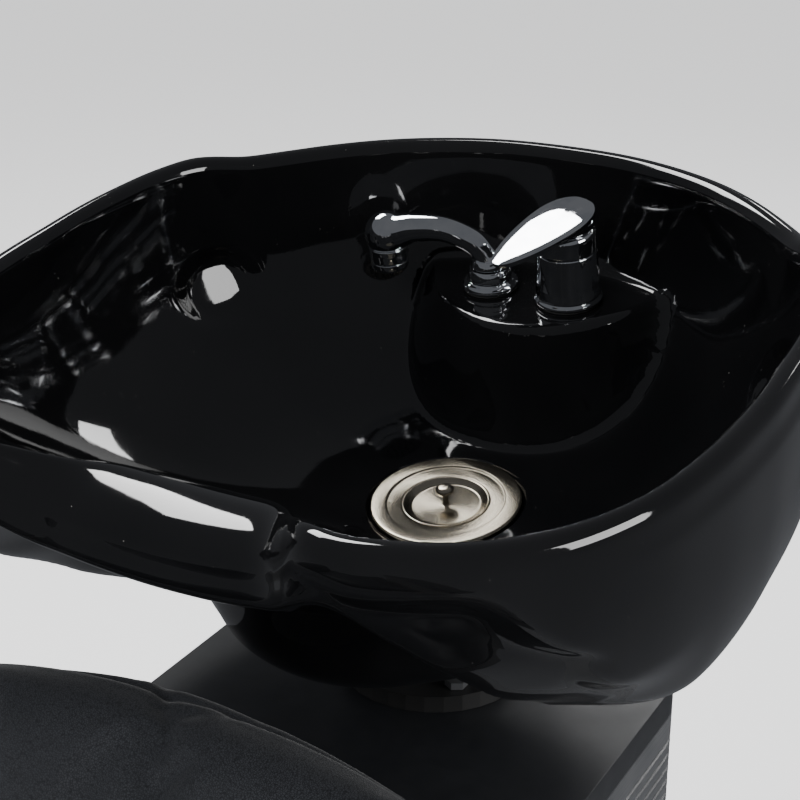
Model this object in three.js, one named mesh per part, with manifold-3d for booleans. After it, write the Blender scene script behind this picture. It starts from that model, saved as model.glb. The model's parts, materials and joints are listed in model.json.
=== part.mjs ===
// Shampoo backwash unit: tilting ceramic basin with mixer, hand shower and waste, on a fluted
// pedestal, with an upholstered wash chair in front. Millimetres, +X right, +Y back, +Z up.
import * as THREE from 'three'
import { mergeVertices } from 'three/addons/utils/BufferGeometryUtils.js'
import Module from 'manifold-3d'

const wasm = await Module()
wasm.setup()

// ---- driving dimensions ---------------------------------------------------------------------
const DRAIN_Y = 370.4            // waste centre, in front of the rear of the basin
const DRAIN_Z = 760            // floor to waste flange
const TILT = 10 * Math.PI / 180   // the basin leans this much towards the neck rest
const CLEAR = 0.4              // gap between neighbouring pieces

const MOUTH_Y = -50            // middle of the rim, in front of the waste
const INNER_ROWS = 13
const RIM_ROWS = 4
const OUTER_ROWS = 14
const BASIN_COLUMNS = 80
const WASTE_R = 52.5           // waste flange
const SEAT_DROP = 3            // recess that takes the flange
const WASTE_HOLE_R = 34
const FLOOR_T = 14
const FOOT_Z = -32             // underside of the basin foot
const FOOT_BORE = 44           // recess in the foot for the back nut
const FOOT_RX = 118
const FOOT_REAR = 76
const FOOT_FRONT = 146
const SIDE_FULL = 2.9          // fullness of the outer belly at the sides
const FRONT_FULL = 1.35        // and at the front flanks
const WALL = 14                // least thickness between inner and outer skin
const CHIN_IN = 24             // how far the lower front flanks draw in
const CHIN_LOW = 12            // and a little more near the foot
const PROW = 1 / 200           // roundness of the belly under the neck, one over mm
const DISH_ANGLE = 63.3 * Math.PI / 180   // oval dish in each side wall, angle from the back
const DISH_R = 240
const DISH_Z = 98
const DISH_LONG = 42
const DISH_HIGH = 30
const DISH_DEEP = 6
const DECK_Z = 89              // tap deck
const DECK_HALF = 95
const DECK_DEPTH = 108
const DECK_FOOT_HALF = 160
const DECK_FOOT_DEPTH = 136
const DECK_BACK = 205
const TAP_X = 31               // half spacing of the two deck fittings
const TAP_Y = 146
const TAP_HOLE_R = 15
const POCKET_HALF = 55         // service pocket under the deck
const POCKET_FRONT = 126.5
const POCKET_REAR = 180
const POCKET_TOP = DECK_Z - 13

const FLANGE_T = 3.4
const TAIL_R = 21
const TAIL_BOTTOM = -98
const PLATE_T = 12
const PIVOT_Z = DRAIN_Z - 66   // tilt axis, floor to pin
const PIN_R = 6
const MOUNT_Y = DRAIN_Y - 16
const PLATE_R = 66
const PLATE_BORE = 38
const CHEEK_X = 50
const CHEEK_T = 6
const LUG_T = 8
const BOLT_R = 4
const BOLT_AT = 37
const MIXER_R = 22.4
const MIXER_H = 56
const SEAM_Z = 41               // the part above this turns with the lever
const LEVER_TURN = 24 * Math.PI / 180
const LEVER_SLOPE = 12.5 * Math.PI / 180
const GRIP_R = 9.5             // hand shower arm
const HEAD_R = 16.5
const STEM_R = 6.4

const PED_HALF = 160           // pedestal half width
const PED_FRONT = DRAIN_Y - 288
const PED_REAR = DRAIN_Y + 72
const PED_TOP = PIVOT_Z - 54
const TOP_T = 22
const SKIN_T = 12
const CORNER_R = 42
const FLUTE_PITCH = 11
const FLUTE_COUNT = 50
const FLUTE_W = 3.2
const FLUTE_DEPTH = 3
const SHELL_BOTTOM = 30
const DOOR_HALF = 87
const DOOR_GAP = 3

const SEAT_TOP = DRAIN_Z - 290   // keeps the neck at the lip
const SEAT_T = 110
const SEAT_HALF = 240
const SEAT_FRONT = DRAIN_Y - 945
const SEAT_REAR = DRAIN_Y - 470
const RAIL_X = SEAT_HALF - 40   // middle of the long floor rails
const STRUT_X = SEAT_HALF - 90
const BACK_LEAN = 17 * Math.PI / 180
const BACK_H = 344
const BACK_T = 96
const BACK_FOOT_Y = DRAIN_Y - 374
const BACK_FOOT_Z = SEAT_TOP - 34
const ARM_IN = SEAT_HALF + 12
const ARM_T = 62
const ARM_TOP = SEAT_TOP + 170
const FRAME_Z = 30
const FRAME_TUBE = 30
const ARM_BOTTOM = FRAME_Z + FRAME_TUBE + CLEAR
const ARM_FRONT = DRAIN_Y - 915
const ARM_REAR = DRAIN_Y - 385
const BOARD_T = 13

// ---- materials ------------------------------------------------------------------------------
const paint = (color, roughness, metalness) =>
  new THREE.MeshStandardMaterial({ color, roughness, metalness })
const GLAZE = paint(0x0b0b0d, 0.06, 0)
const STEEL = paint(0xb9b2a0, 0.3, 1)
const CHROME = paint(0xd8dadd, 0.08, 1)
const ZINC = paint(0x8d9094, 0.45, 1)
const BLACK_METAL = paint(0x1c1d1f, 0.45, 0.4)
const RUBBER = paint(0x161616, 0.85, 0)
const PLASTIC = paint(0x1d1e20, 0.5, 0)
const LAMINATE = paint(0x222326, 0.55, 0)
const LEATHER = paint(0x17171a, 0.42, 0)
const PLY = paint(0xb08c5c, 0.7, 0)

const unit = new THREE.Group()
unit.name = 'shampoo_backwash_unit'

function add(name, geometry, material) {
  const mesh = new THREE.Mesh(geometry, material)
  mesh.name = name
  unit.add(mesh)
  return mesh
}

// ---- small helpers --------------------------------------------------------------------------
const smooth = (a, b, x) => {
  const t = Math.min(1, Math.max(0, (x - a) / (b - a)))
  return t * t * (3 - 2 * t)
}

function table(points) {
  // straight lines between stations, held at both ends
  return x => {
    if (x <= points[0][0]) return points[0][1]
    for (let i = 1; i < points.length; i++) {
      const [x0, y0] = points[i - 1]
      const [x1, y1] = points[i]
      if (x <= x1) return y0 + (y1 - y0) * (x - x0) / (x1 - x0)
    }
    return points[points.length - 1][1]
  }
}

function curve(points) {
  // smooth curve through stations that never overshoots them
  const n = points.length
  const h = []
  const d = []
  for (let i = 0; i < n - 1; i++) {
    h.push(points[i + 1][0] - points[i][0])
    d.push((points[i + 1][1] - points[i][1]) / h[i])
  }
  const m = new Array(n).fill(0)
  for (let i = 1; i < n - 1; i++) {
    if (d[i - 1] * d[i] > 0) {
      const a = 2 * h[i] + h[i - 1]
      const b = h[i] + 2 * h[i - 1]
      m[i] = (a + b) / (a / d[i - 1] + b / d[i])
    }
  }
  return x => {
    let i = 0
    while (i < n - 2 && x > points[i + 1][0]) i++
    const t = (x - points[i][0]) / h[i]
    const u = 1 - t
    return (1 + 2 * t) * u * u * points[i][1] + t * u * u * h[i] * m[i] +
      t * t * (3 - 2 * t) * points[i + 1][1] - t * t * u * h[i] * m[i + 1]
  }
}

function toSolid(geometry) {
  const g = geometry.clone()
  g.deleteAttribute('normal')
  g.deleteAttribute('uv')
  const merged = mergeVertices(g, 1e-4)
  return new wasm.Manifold(new wasm.Mesh({
    numProp: 3,
    vertProperties: new Float32Array(merged.attributes.position.array),
    triVerts: new Uint32Array(merged.index.array)
  }))
}

function toGeometry(solid) {
  const mesh = solid.getMesh()
  const g = new THREE.BufferGeometry()
  g.setAttribute('position', new THREE.Float32BufferAttribute(mesh.vertProperties, 3))
  g.setIndex(Array.from(mesh.triVerts))
  g.computeVertexNormals()
  return g
}

const joined = list => toGeometry(list.map(toSolid).reduce((a, b) => a.add(b)))
const cut = (base, tools) => toGeometry(tools.map(toSolid).reduce((a, b) => a.subtract(b), toSolid(base)))

function box(x0, x1, y0, y1, z0, z1) {
  const g = new THREE.BoxGeometry(x1 - x0, y1 - y0, z1 - z0)
  g.translate((x0 + x1) / 2, (y0 + y1) / 2, (z0 + z1) / 2)
  return g
}

function turned(profile, segments = 24) {
  // profile as [radius, height] pairs from the bottom axis point outwards and back to the axis
  const g = new THREE.LatheGeometry(profile.map(p => new THREE.Vector2(p[0], p[1])), segments)
  g.rotateX(Math.PI / 2)
  return g
}

const ringProfile = (r0, r1, z0, z1) => [[r0, z0], [r1, z0], [r1, z1], [r0, z1], [r0, z0]]
const rodProfile = (r, z0, z1) => [[0, z0], [r, z0], [r, z1], [0, z1]]
const ring = (r0, r1, z0, z1, segments) => turned(ringProfile(r0, r1, z0, z1), segments)
const rod = (r, z0, z1, segments) => turned(rodProfile(r, z0, z1), segments)

function at(geometry, x, y) {
  geometry.translate(x, y, 0)
  return geometry
}

function hexNut(bore, size, z0, z1) {
  const s = new THREE.Shape()
  for (let i = 0; i < 6; i++) {
    const t = i * Math.PI / 3
    if (i === 0) s.moveTo(size, 0)
    else s.lineTo(size * Math.cos(t), size * Math.sin(t))
  }
  const hole = new THREE.Path()
  hole.absarc(0, 0, bore, 0, Math.PI * 2, true)
  s.holes.push(hole)
  return slab(s, z0, z1, 10)
}

function slab(shape, z0, z1, curveSegments = 4) {
  const g = new THREE.ExtrudeGeometry(shape, { depth: z1 - z0, bevelEnabled: false, curveSegments })
  g.translate(0, 0, z0)
  return g
}

function pillow(width, height, thick, corner, edge) {
  // upholstered panel: rounded outline, rounded edges; lies in XY, rests on z = 0
  const shape = new THREE.Shape()
  const w = width / 2 - edge
  const h = height / 2 - edge
  const c = Math.max(corner - edge, 4)
  shape.moveTo(-w + c, -h)
  shape.lineTo(w - c, -h)
  shape.quadraticCurveTo(w, -h, w, -h + c)
  shape.lineTo(w, h - c)
  shape.quadraticCurveTo(w, h, w - c, h)
  shape.lineTo(-w + c, h)
  shape.quadraticCurveTo(-w, h, -w, h - c)
  shape.lineTo(-w, -h + c)
  shape.quadraticCurveTo(-w, -h, -w + c, -h)
  const g = new THREE.ExtrudeGeometry(shape, {
    depth: thick - 2 * edge,
    bevelEnabled: true,
    bevelThickness: edge,
    bevelSize: edge,
    bevelSegments: 3,
    curveSegments: 3
  })
  g.translate(0, 0, edge)
  return g
}

// basin frame -> room: lean about the waste, then lift to the waste position
function seat(geometry) {
  geometry.rotateX(TILT)
  geometry.translate(0, DRAIN_Y, DRAIN_Z)
  return geometry
}

// ---- basin ----------------------------------------------------------------------------------
// rim stations from the back to the neck: x, y, crest height, half width, half height
const RIM = [
  [0, 217, 174, 9, 9], [66, 210, 174.5, 9, 9], [122, 188, 176, 9, 9], [160, 161, 178, 9, 9],
  [188, 134, 180, 9, 9], [207, 112, 182.5, 9, 9], [221, 97, 187, 9, 9], [233, 84, 190, 9, 9],
  [244, 56, 192, 8, 8], [253, 10, 194, 8, 8], [257, -50, 196, 8, 8], [257, -110, 198, 8, 8],
  [251, -168, 201, 8, 8], [238, -220, 204, 8, 8], [214, -264, 208, 9, 9], [178, -300, 213, 11, 10],
  [139, -318, 217, 12, 11], [106, -317, 217, 13, 12], [89, -307, 207, 16, 13], [76, -293, 193, 22, 14],
  [52, -281, 185, 28, 15], [0, -278, 181, 30, 16]
]
const rimAngle = s => Math.atan2(s[0], s[1] - MOUTH_Y)
const rimCurve = pick => curve(RIM.map(s => [rimAngle(s), pick(s)]))
const SOFT_SPREAD = 9 * Math.PI / 180

function softCurve(pick) {
  // the same curve evened out over a spread of angles, for the walls below the rim
  const exact = rimCurve(pick)
  const taps = Array.from({ length: 13 }, (_, i) => (i - 6) / 6)
  const weight = t => Math.exp(-2 * t * t)
  const total = taps.reduce((sum, t) => sum + weight(t), 0)
  const folded = a => a < 0 ? -a : a > Math.PI ? 2 * Math.PI - a : a
  return a => taps.reduce((sum, t) => sum + weight(t) * exact(folded(a + t * 2 * SOFT_SPREAD)), 0) / total
}

const rimReach = rimCurve(s => Math.hypot(s[0], s[1] - MOUTH_Y))
const rimHeight = rimCurve(s => s[2])
const rimHalf = rimCurve(s => s[3])
const rimRound = rimCurve(s => s[4])
const softReach = softCurve(s => Math.hypot(s[0], s[1] - MOUTH_Y) - s[3])
const softTop = softCurve(s => s[2] - s[4])

// where the two flank folds run: height -> angle from the back, degrees
const upperFold = table([[60, 126], [99, 131], [118, 132], [140, 136.5], [171, 141], [188, 143], [205, 148]])
const hornFold = table([[-46, 128], [0, 132], [50, 138], [83, 143.5], [100, 146], [127, 150.5],
  [145, 153.5], [182, 158], [192, 161], [205, 163]])
// underside of the neck rest: share of height -> distance in front of the waste
const neckUnder = curve([[0, 152], [0.05, 175], [0.11, 190], [0.2, 203], [0.304, 210], [0.488, 213],
  [0.6, 223], [0.7, 248], [0.775, 280], [0.85, 301], [0.93, 314], [1, 311]])

function innerExponent(deg) {
  return 2.1 - 0.75 * smooth(100, 150, deg)
}

function innerPoint(a, side, t) {
  // quarter of a superellipse from the waste seat up to the rim
  const n = innerExponent(a * 180 / Math.PI)
  const rho = Math.sin(t) ** (2 / n)
  const sharp = smooth(0.72, 1, rho)
  const reach = softReach(a) + (rimReach(a) - rimHalf(a) - softReach(a)) * sharp
  const top = softTop(a) + (rimHeight(a) - rimRound(a) - softTop(a)) * sharp
  const z = top * (1 - Math.max(0, Math.cos(t)) ** (2 / n))
  const r = WASTE_R + 3 + (reach - WASTE_R - 3) * rho + dish(a, z)
  const x = r * Math.sin(a) * side
  const y = MOUTH_Y * rho + r * Math.cos(a)
  return [x, y, deckOver(x, y, z)]
}

function dish(a, z) {
  // shallow oval dish pressed into the side wall
  const e = Math.hypot((a - DISH_ANGLE) * DISH_R / DISH_LONG, (z - DISH_Z) / DISH_HIGH)
  return DISH_DEEP * (1 - smooth(0.5, 1, e))
}

function deckOver(x, y, z) {
  // the tap deck rises out of the floor with a rounded front
  const lobe = (half, depth, n) =>
    (Math.abs(x / half) ** n + Math.abs((y - DECK_BACK) / depth) ** n) ** (1 / n)
  const foot = 1 - lobe(DECK_FOOT_HALF, DECK_FOOT_DEPTH, 2)
  const top = lobe(DECK_HALF, DECK_DEPTH, 1.8) - 1
  const share = foot <= 0 ? 0 : top <= 0 ? 1 : foot / (foot + top)
  const h = DECK_Z * smooth(0, 1, share)
  const blend = 12 * smooth(0, 0.35, share) + 1e-6
  const gap = Math.abs(z - h)
  return Math.max(z, h) + (gap < blend ? (blend - gap) ** 2 / (4 * blend) : 0)
}

function innerReach(a, z) {
  // distance from the mouth axis to the inner skin at height z
  const n = innerExponent(a * 180 / Math.PI)
  const top = softTop(a)
  const c = (1 - Math.min(1, Math.max(0, z / top))) ** (n / 2)
  const rho = Math.sqrt(1 - c * c) ** (2 / n)
  const reach = softReach(a)
  return { r: WASTE_R + 3 + (reach - WASTE_R - 3) * rho, y: MOUTH_Y * rho }
}

function outerPoint(a, side, s) {
  const deg = a * 180 / Math.PI
  const ca = Math.cos(a)
  const sa = Math.sin(a)
  const top = rimHeight(a) - rimRound(a)
  const reach = rimReach(a) + rimHalf(a)
  const foot = 1 / Math.hypot(sa / FOOT_RX, ca / (ca > 0 ? FOOT_REAR : FOOT_FRONT))
  const n = SIDE_FULL + (FRONT_FULL - SIDE_FULL) * smooth(104, 160, deg)
  const rho = Math.max(0, Math.cos(s * Math.PI / 2)) ** (2 / n)
  const z = top + (FOOT_Z - top) * Math.sin(s * Math.PI / 2) ** (2 / n)
  const cy = MOUTH_Y * rho
  let r = foot + (reach - foot) * rho
  const past = deg - upperFold(z)
  const fade = smooth(40, 95, z) * (1 - smooth(165, 198, z))
  r -= 13 * smooth(-2, 4.5, past) * (1 - 0.8 * smooth(4, 24, past)) * fade
  r -= (CHIN_IN + CHIN_LOW * smooth(30, -15, z)) * smooth(112, 134, deg) * smooth(95, 35, z)
  if (ca < -0.5) {
    const share = (z - FOOT_Z) / (top - FOOT_Z)
    const lip = -(MOUTH_Y + reach * ca) - 311
    const front = neckUnder(share) + lip * smooth(0.5, 1, share) + cy
    // distance along this direction to the curve y = -front + prow * x * x
    const prow = PROW * smooth(0.75, 0.45, share) * sa * sa
    const under = 2 * front / (-ca + Math.sqrt(ca * ca + 4 * prow * front))
    const mix = smooth(-1.5, 5, deg - hornFold(z))
    r = r * (1 - mix) + under * mix
  }
  const inner = innerReach(a, z)
  const least = inner.r + (inner.y - cy) * ca + WALL * smooth(top + 4, top - 20, z)
  const gap = Math.abs(r - least)
  r = Math.max(r, least) + (gap < 10 ? (10 - gap) ** 2 / 40 : 0) * smooth(top, top - 20, z)
  return [r * sa * side, cy + r * ca, z]
}

function evenly(points, count) {
  // the same run of points, evenly spaced along its length
  const along = [0]
  for (let i = 1; i < points.length; i++) {
    const [a, b] = [points[i - 1], points[i]]
    along.push(along[i - 1] + Math.hypot(a[0] - b[0], a[1] - b[1], a[2] - b[2]))
  }
  const total = along[along.length - 1]
  const out = []
  let k = 1
  for (let j = 0; j < count; j++) {
    const at = total * j / (count - 1)
    while (k < points.length - 1 && along[k] < at) k++
    const t = (at - along[k - 1]) / (along[k] - along[k - 1] || 1)
    out.push([0, 1, 2].map(c => points[k - 1][c] + (points[k][c] - points[k - 1][c]) * t))
  }
  return out
}

function basinColumn(u) {
  const a = Math.abs(u)
  const side = u < 0 ? -1 : 1
  const sa = Math.sin(a) * side
  const ca = Math.cos(a)
  const ringAt = (r, z) => [r * sa, r * ca, z]
  const steps = n => Array.from({ length: n }, (_, i) => i / (n - 1))
  const inner = evenly(steps(80).map(t => innerPoint(a, side, t * Math.PI / 2)), INNER_ROWS)
  const outer = evenly(steps(120).map(s => outerPoint(a, side, s)), OUTER_ROWS)
  const half = rimHalf(a)
  const round = rimRound(a)
  const crest = []
  for (let i = 1; i <= RIM_ROWS; i++) {
    const t = Math.PI * (1 - i / (RIM_ROWS + 1))
    const r = rimReach(a) + half * Math.cos(t)
    crest.push([r * sa, MOUTH_Y + r * ca, rimHeight(a) - round + round * Math.sin(t)])
  }
  return [ringAt(WASTE_HOLE_R, -SEAT_DROP), ringAt(WASTE_R + 1, -SEAT_DROP), ...inner, ...crest,
    ...outer, ringAt(FOOT_BORE, FOOT_Z), ringAt(FOOT_BORE, -FLOOR_T), ringAt(WASTE_HOLE_R, -FLOOR_T)]
}

function basinShell() {
  // columns are closer together towards the neck, where the horns and folds are
  const columns = []
  for (let i = 0; i < BASIN_COLUMNS; i++) {
    const u = -Math.PI + 2 * Math.PI * i / BASIN_COLUMNS
    columns.push(basinColumn(u + 0.22 * Math.sin(u)))
  }
  const rows = columns[0].length
  const position = columns.flat(2)
  const index = []
  for (let i = 0; i < BASIN_COLUMNS; i++) {
    const next = (i + 1) % BASIN_COLUMNS
    for (let j = 0; j < rows; j++) {
      const up = (j + 1) % rows
      const [p, q, r, s] = [i * rows + j, next * rows + j, next * rows + up, i * rows + up]
      index.push(p, q, r, p, r, s)
    }
  }
  const g = new THREE.BufferGeometry()
  g.setAttribute('position', new THREE.Float32BufferAttribute(position, 3))
  g.setIndex(index)
  return g
}

function basin() {
  const pocket = box(-POCKET_HALF, POCKET_HALF, POCKET_FRONT, POCKET_REAR, FOOT_Z - 60, POCKET_TOP)
  const hole = x => {
    const g = rod(TAP_HOLE_R, POCKET_TOP - 10, DECK_Z + 30, 20)
    g.translate(x, TAP_Y, 0)
    return g
  }
  add('basin', seat(cut(basinShell(), [pocket, hole(-TAP_X), hole(TAP_X)])), GLAZE)
}

// ---- waste ----------------------------------------------------------------------------------
function waste() {
  const z = -SEAT_DROP + CLEAR
  add('waste_gasket', seat(ring(WASTE_HOLE_R + 1, WASTE_R - 1, z - CLEAR + 0.1, z + 0.7, 24)), RUBBER)
  const top = z + 0.8 + FLANGE_T
  // flange: outer lip, groove, sloping dish, and the threaded neck below
  add('waste_flange', seat(turned([
    [16, z - 14], [18, z - 14], [18, -FLOOR_T - 20], [WASTE_HOLE_R - 2, -FLOOR_T - 20],
    [WASTE_HOLE_R - 2, z + 0.8], [WASTE_R, z + 0.8], [WASTE_R, top - 0.8], [WASTE_R - 2, top],
    [42, top], [41, top - 1], [38, top - 1], [31, top - 3], [27, top - 6.4], [27, z - 11],
    [16, z - 11], [16, z - 14]], 24)), STEEL)
  add('waste_strainer', seat(turned([
    [0, top - 5.6], [26, top - 5.6], [29.5, top - 1.9], [29.5, top - 0.6], [26.5, top - 0.6], [24, top - 3],
    [2.4, top - 3], [2.2, top + 3], [5.6, top + 5], [6.6, top + 8], [5, top + 11], [0, top + 12]], 20)), STEEL)
  add('waste_nut', seat(hexNut(WASTE_HOLE_R - 2 + 2 * CLEAR, 41, -FLOOR_T - 12, -FLOOR_T - CLEAR)), PLASTIC)
  add('tail_pipe', seat(turned([[TAIL_R - 3, TAIL_BOTTOM], [TAIL_R, TAIL_BOTTOM], [TAIL_R, -FLOOR_T - 34],
    [WASTE_HOLE_R + 1, -FLOOR_T - 24], [WASTE_HOLE_R + 1, -FLOOR_T - 13], [WASTE_HOLE_R - 1.5, -FLOOR_T - 13],
    [WASTE_HOLE_R - 1.5, -FLOOR_T - 23], [TAIL_R - 3, -FLOOR_T - 36], [TAIL_R - 3, TAIL_BOTTOM]], 20)), PLASTIC)
}

// ---- deck fittings --------------------------------------------------------------------------
const onDeck = (geometry, x) => {
  geometry.translate(x, TAP_Y, DECK_Z)
  return seat(geometry)
}

function mixer() {
  add('mixer_gasket', onDeck(ring(TAP_HOLE_R + 1, 23.6, CLEAR, 1.6, 20), TAP_X), RUBBER)
  add('mixer_base', onDeck(turned([
    [0, 2], [24, 2], [24.6, 3.2], [24, 5.4], [22.6, 6.6], [0, 6.6]
  ], 24), TAP_X), CHROME)
  add('mixer_body', onDeck(turned([
    [0, 7], [MIXER_R + 1.4, 7], [MIXER_R + 0.6, 12], [MIXER_R - 0.4, SEAM_Z - 1],
    [MIXER_R - 1.2, SEAM_Z], [0, SEAM_Z]
  ], 24), TAP_X), CHROME)
  add('mixer_cap', onDeck(turned([
    [0, SEAM_Z + CLEAR], [MIXER_R - 1.2, SEAM_Z + CLEAR], [MIXER_R - 0.5, SEAM_Z + 1.2],
    [MIXER_R - 1.4, MIXER_H], [MIXER_R - 4, MIXER_H + 1.2], [0, MIXER_H + 1.2]
  ], 24), TAP_X), CHROME)
  add('mixer_lever', onDeck(lever(), TAP_X), CHROME)
  add('mixer_shank', onDeck(rod(11, -48, 1.6, 16), TAP_X), ZINC)
  add('mixer_nut', onDeck(hexNut(11 + 2 * CLEAR, 21, -22, -13.6), TAP_X), ZINC)
}

function lever() {
  // sloping hood over the body that runs out into a flat leaf pointing at the client
  const leaf = new THREE.Shape()
  const back = 21
  leaf.moveTo(0, back)
  leaf.bezierCurveTo(15, back, 23, 8, 22, -10)
  leaf.bezierCurveTo(21, -30, 16, -51, 9, -61)
  leaf.bezierCurveTo(4.5, -67.5, -4.5, -67.5, -9, -61)
  leaf.bezierCurveTo(-16, -51, -21, -30, -22, -10)
  leaf.bezierCurveTo(-23, 8, -15, back, 0, back)
  const plate = new THREE.ExtrudeGeometry(leaf, {
    depth: 3.4, bevelEnabled: true, bevelThickness: 1.5, bevelSize: 1.5, bevelOffset: -1.5,
    bevelSegments: 1, curveSegments: 6
  })
  plate.translate(0, 0, -1.7)
  plate.rotateX(LEVER_SLOPE)
  plate.translate(0, 0, MIXER_H + 10)
  const hood = turned([
    [0, MIXER_H + 2], [MIXER_R - 3, MIXER_H + 2], [MIXER_R - 2.4, MIXER_H + 10], [0, MIXER_H + 10]
  ], 20)
  const g = joined([plate, hood])
  g.rotateZ(-LEVER_TURN)
  return g
}

function handShower() {
  const x = -TAP_X
  add('holder_gasket', onDeck(ring(TAP_HOLE_R + 1, 19.6, CLEAR, 1.4, 20), x), RUBBER)
  // socket with a bore for the handset stem, and the collar that turns on top of it
  add('shower_holder', onDeck(turned([
    [STEM_R + 0.6, -46], [12, -46], [12, 1.8], [20, 1.8], [20.6, 3], [20, 6.4], [16.6, 8.2],
    [STEM_R + 0.6, 8.2], [STEM_R + 0.6, -46]
  ], 20), x), CHROME)
  add('holder_collar', onDeck(turned([[STEM_R + 0.6, 8.2 + CLEAR], [16, 8.2 + CLEAR], [15.8, 15], [14.6, 17],
    [STEM_R + 0.6, 17], [STEM_R + 0.6, 8.2 + CLEAR]], 20), x), CHROME)
  add('holder_nut', onDeck(hexNut(12 + 2 * CLEAR, 21, -22, -13.6), x), ZINC)
  const path = new THREE.CatmullRomCurve3([
    new THREE.Vector3(0, 0, 20.6), new THREE.Vector3(-2, 0, 26), new THREE.Vector3(-13, -2, 36.5),
    new THREE.Vector3(-35, -5, 44), new THREE.Vector3(-58, -8, 43), new THREE.Vector3(-70, -9, 39)])
  const section = new THREE.Shape()
  section.absellipse(0, 0, GRIP_R, GRIP_R, 0, Math.PI * 2, false, 0)
  const arm = new THREE.ExtrudeGeometry(section, {
    steps: 9, curveSegments: 6, bevelEnabled: false, extrudePath: path
  })
  const stem = rod(STEM_R, 8.2 + 2 * CLEAR, 24, 14)
  const sleeve = turned([[0, 17.6], [13, 17.6], [13.4, 19], [11.4, 24], [0, 25]], 18)
  const ball = new THREE.SphereGeometry(HEAD_R, 14, 9)
  ball.translate(-78, -10, 36)
  const neck = rod(13.4, 15, 30, 16)
  neck.translate(-78, -10, 0)
  add('handset', onDeck(joined([arm, stem, sleeve, ball, neck]), x), CHROME)
  const face = turned([[0, 8.6], [12.6, 8.6], [13.6, 10], [13.6, 14.6], [0, 14.6]], 16)
  face.translate(-78, -10, 0)
  add('spray_face', onDeck(face, x), CHROME)
}

// ---- tilting mount --------------------------------------------------------------------------

function cheekPlate(x0, x1, top, half, pinR) {
  // upright plate with a round head about the pivot, standing on z = 0 of its own length
  const s = new THREE.Shape()
  s.moveTo(-half, -top)
  s.lineTo(half, -top)
  s.lineTo(18, 0)
  s.absarc(0, 0, 18, 0, Math.PI, false)
  s.lineTo(-half, -top)
  const hole = new THREE.Path()
  hole.absarc(0, 0, pinR, 0, Math.PI * 2, true)
  s.holes.push(hole)
  const g = new THREE.ExtrudeGeometry(s, { depth: x1 - x0, bevelEnabled: false, curveSegments: 6 })
  g.rotateX(Math.PI / 2)
  g.rotateZ(Math.PI / 2)
  g.translate(x0, MOUNT_Y, PIVOT_Z)
  return g
}

function mount() {
  // base plate with two upright cheeks welded on, held down by four bolts
  const plateTop = PED_TOP + CLEAR + PLATE_T
  const base = at(ring(PLATE_BORE, PLATE_R, PED_TOP + CLEAR, plateTop, 32), 0, MOUNT_Y)
  const cheeks = [-1, 1].map(side => {
    const x0 = side < 0 ? -CHEEK_X - CHEEK_T : CHEEK_X
    return cheekPlate(x0, x0 + CHEEK_T, PIVOT_Z - plateTop + 2, 26, PIN_R + 0.3)
  })
  const bracket = joined([base, ...cheeks])
  const spots = [[-1, -1], [1, -1], [1, 1], [-1, 1]].map(([x, y]) => [x * BOLT_AT, MOUNT_Y + y * BOLT_AT])
  const boltHoles = spots.map(([x, y]) => at(rod(BOLT_R + 0.3, PED_TOP, plateTop + 1, 12), x, y))
  add('mount_bracket', cut(bracket, boltHoles), BLACK_METAL)
  spots.forEach(([x, y], i) => {
    const bolt = joined([rod(BOLT_R, PED_TOP - TOP_T - 8, plateTop + 1, 12),
      turned([[0, plateTop + CLEAR], [8, plateTop + CLEAR], [8, plateTop + 5.5], [0, plateTop + 5.5]], 6)])
    add(`mount_bolt_${i + 1}`, at(bolt, x, y), ZINC)
  })
  for (const side of [-1, 1]) {
    // stub pin: head outside the cheek, shank through cheek and lug
    const head = side < 0 ? rod(11, 0, 6, 6) : rod(9, 0, 3, 14)
    const thick = side < 0 ? 6 : 3
    const pin = joined([rod(PIN_R, thick - 1, thick + CLEAR + CHEEK_T + LUG_T + 2, 14), head])
    pin.rotateY(side < 0 ? Math.PI / 2 : -Math.PI / 2)
    pin.translate(side * (CHEEK_X + CHEEK_T + thick + CLEAR), MOUNT_Y, PIVOT_Z)
    add(`pivot_pin_${side < 0 ? 'left' : 'right'}`, pin, ZINC)
  }
  add('tilt_knob', tiltKnob(), PLASTIC)
  cradle()
}

function tiltKnob() {
  // fluted hand knob that clamps the right cheek
  const s = new THREE.Shape()
  const lobes = 6
  for (let i = 0; i < lobes * 5; i++) {
    const t = i / (lobes * 5) * Math.PI * 2
    const r = 17.5 + 2 * Math.cos(lobes * t)
    if (i === 0) s.moveTo(r, 0)
    else s.lineTo(r * Math.cos(t), r * Math.sin(t))
  }
  const g = slab(s, 0, 15)
  g.rotateY(Math.PI / 2)
  g.translate(CHEEK_X + CHEEK_T + 3 + 2 * CLEAR, MOUNT_Y, PIVOT_Z)
  return g
}

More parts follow.
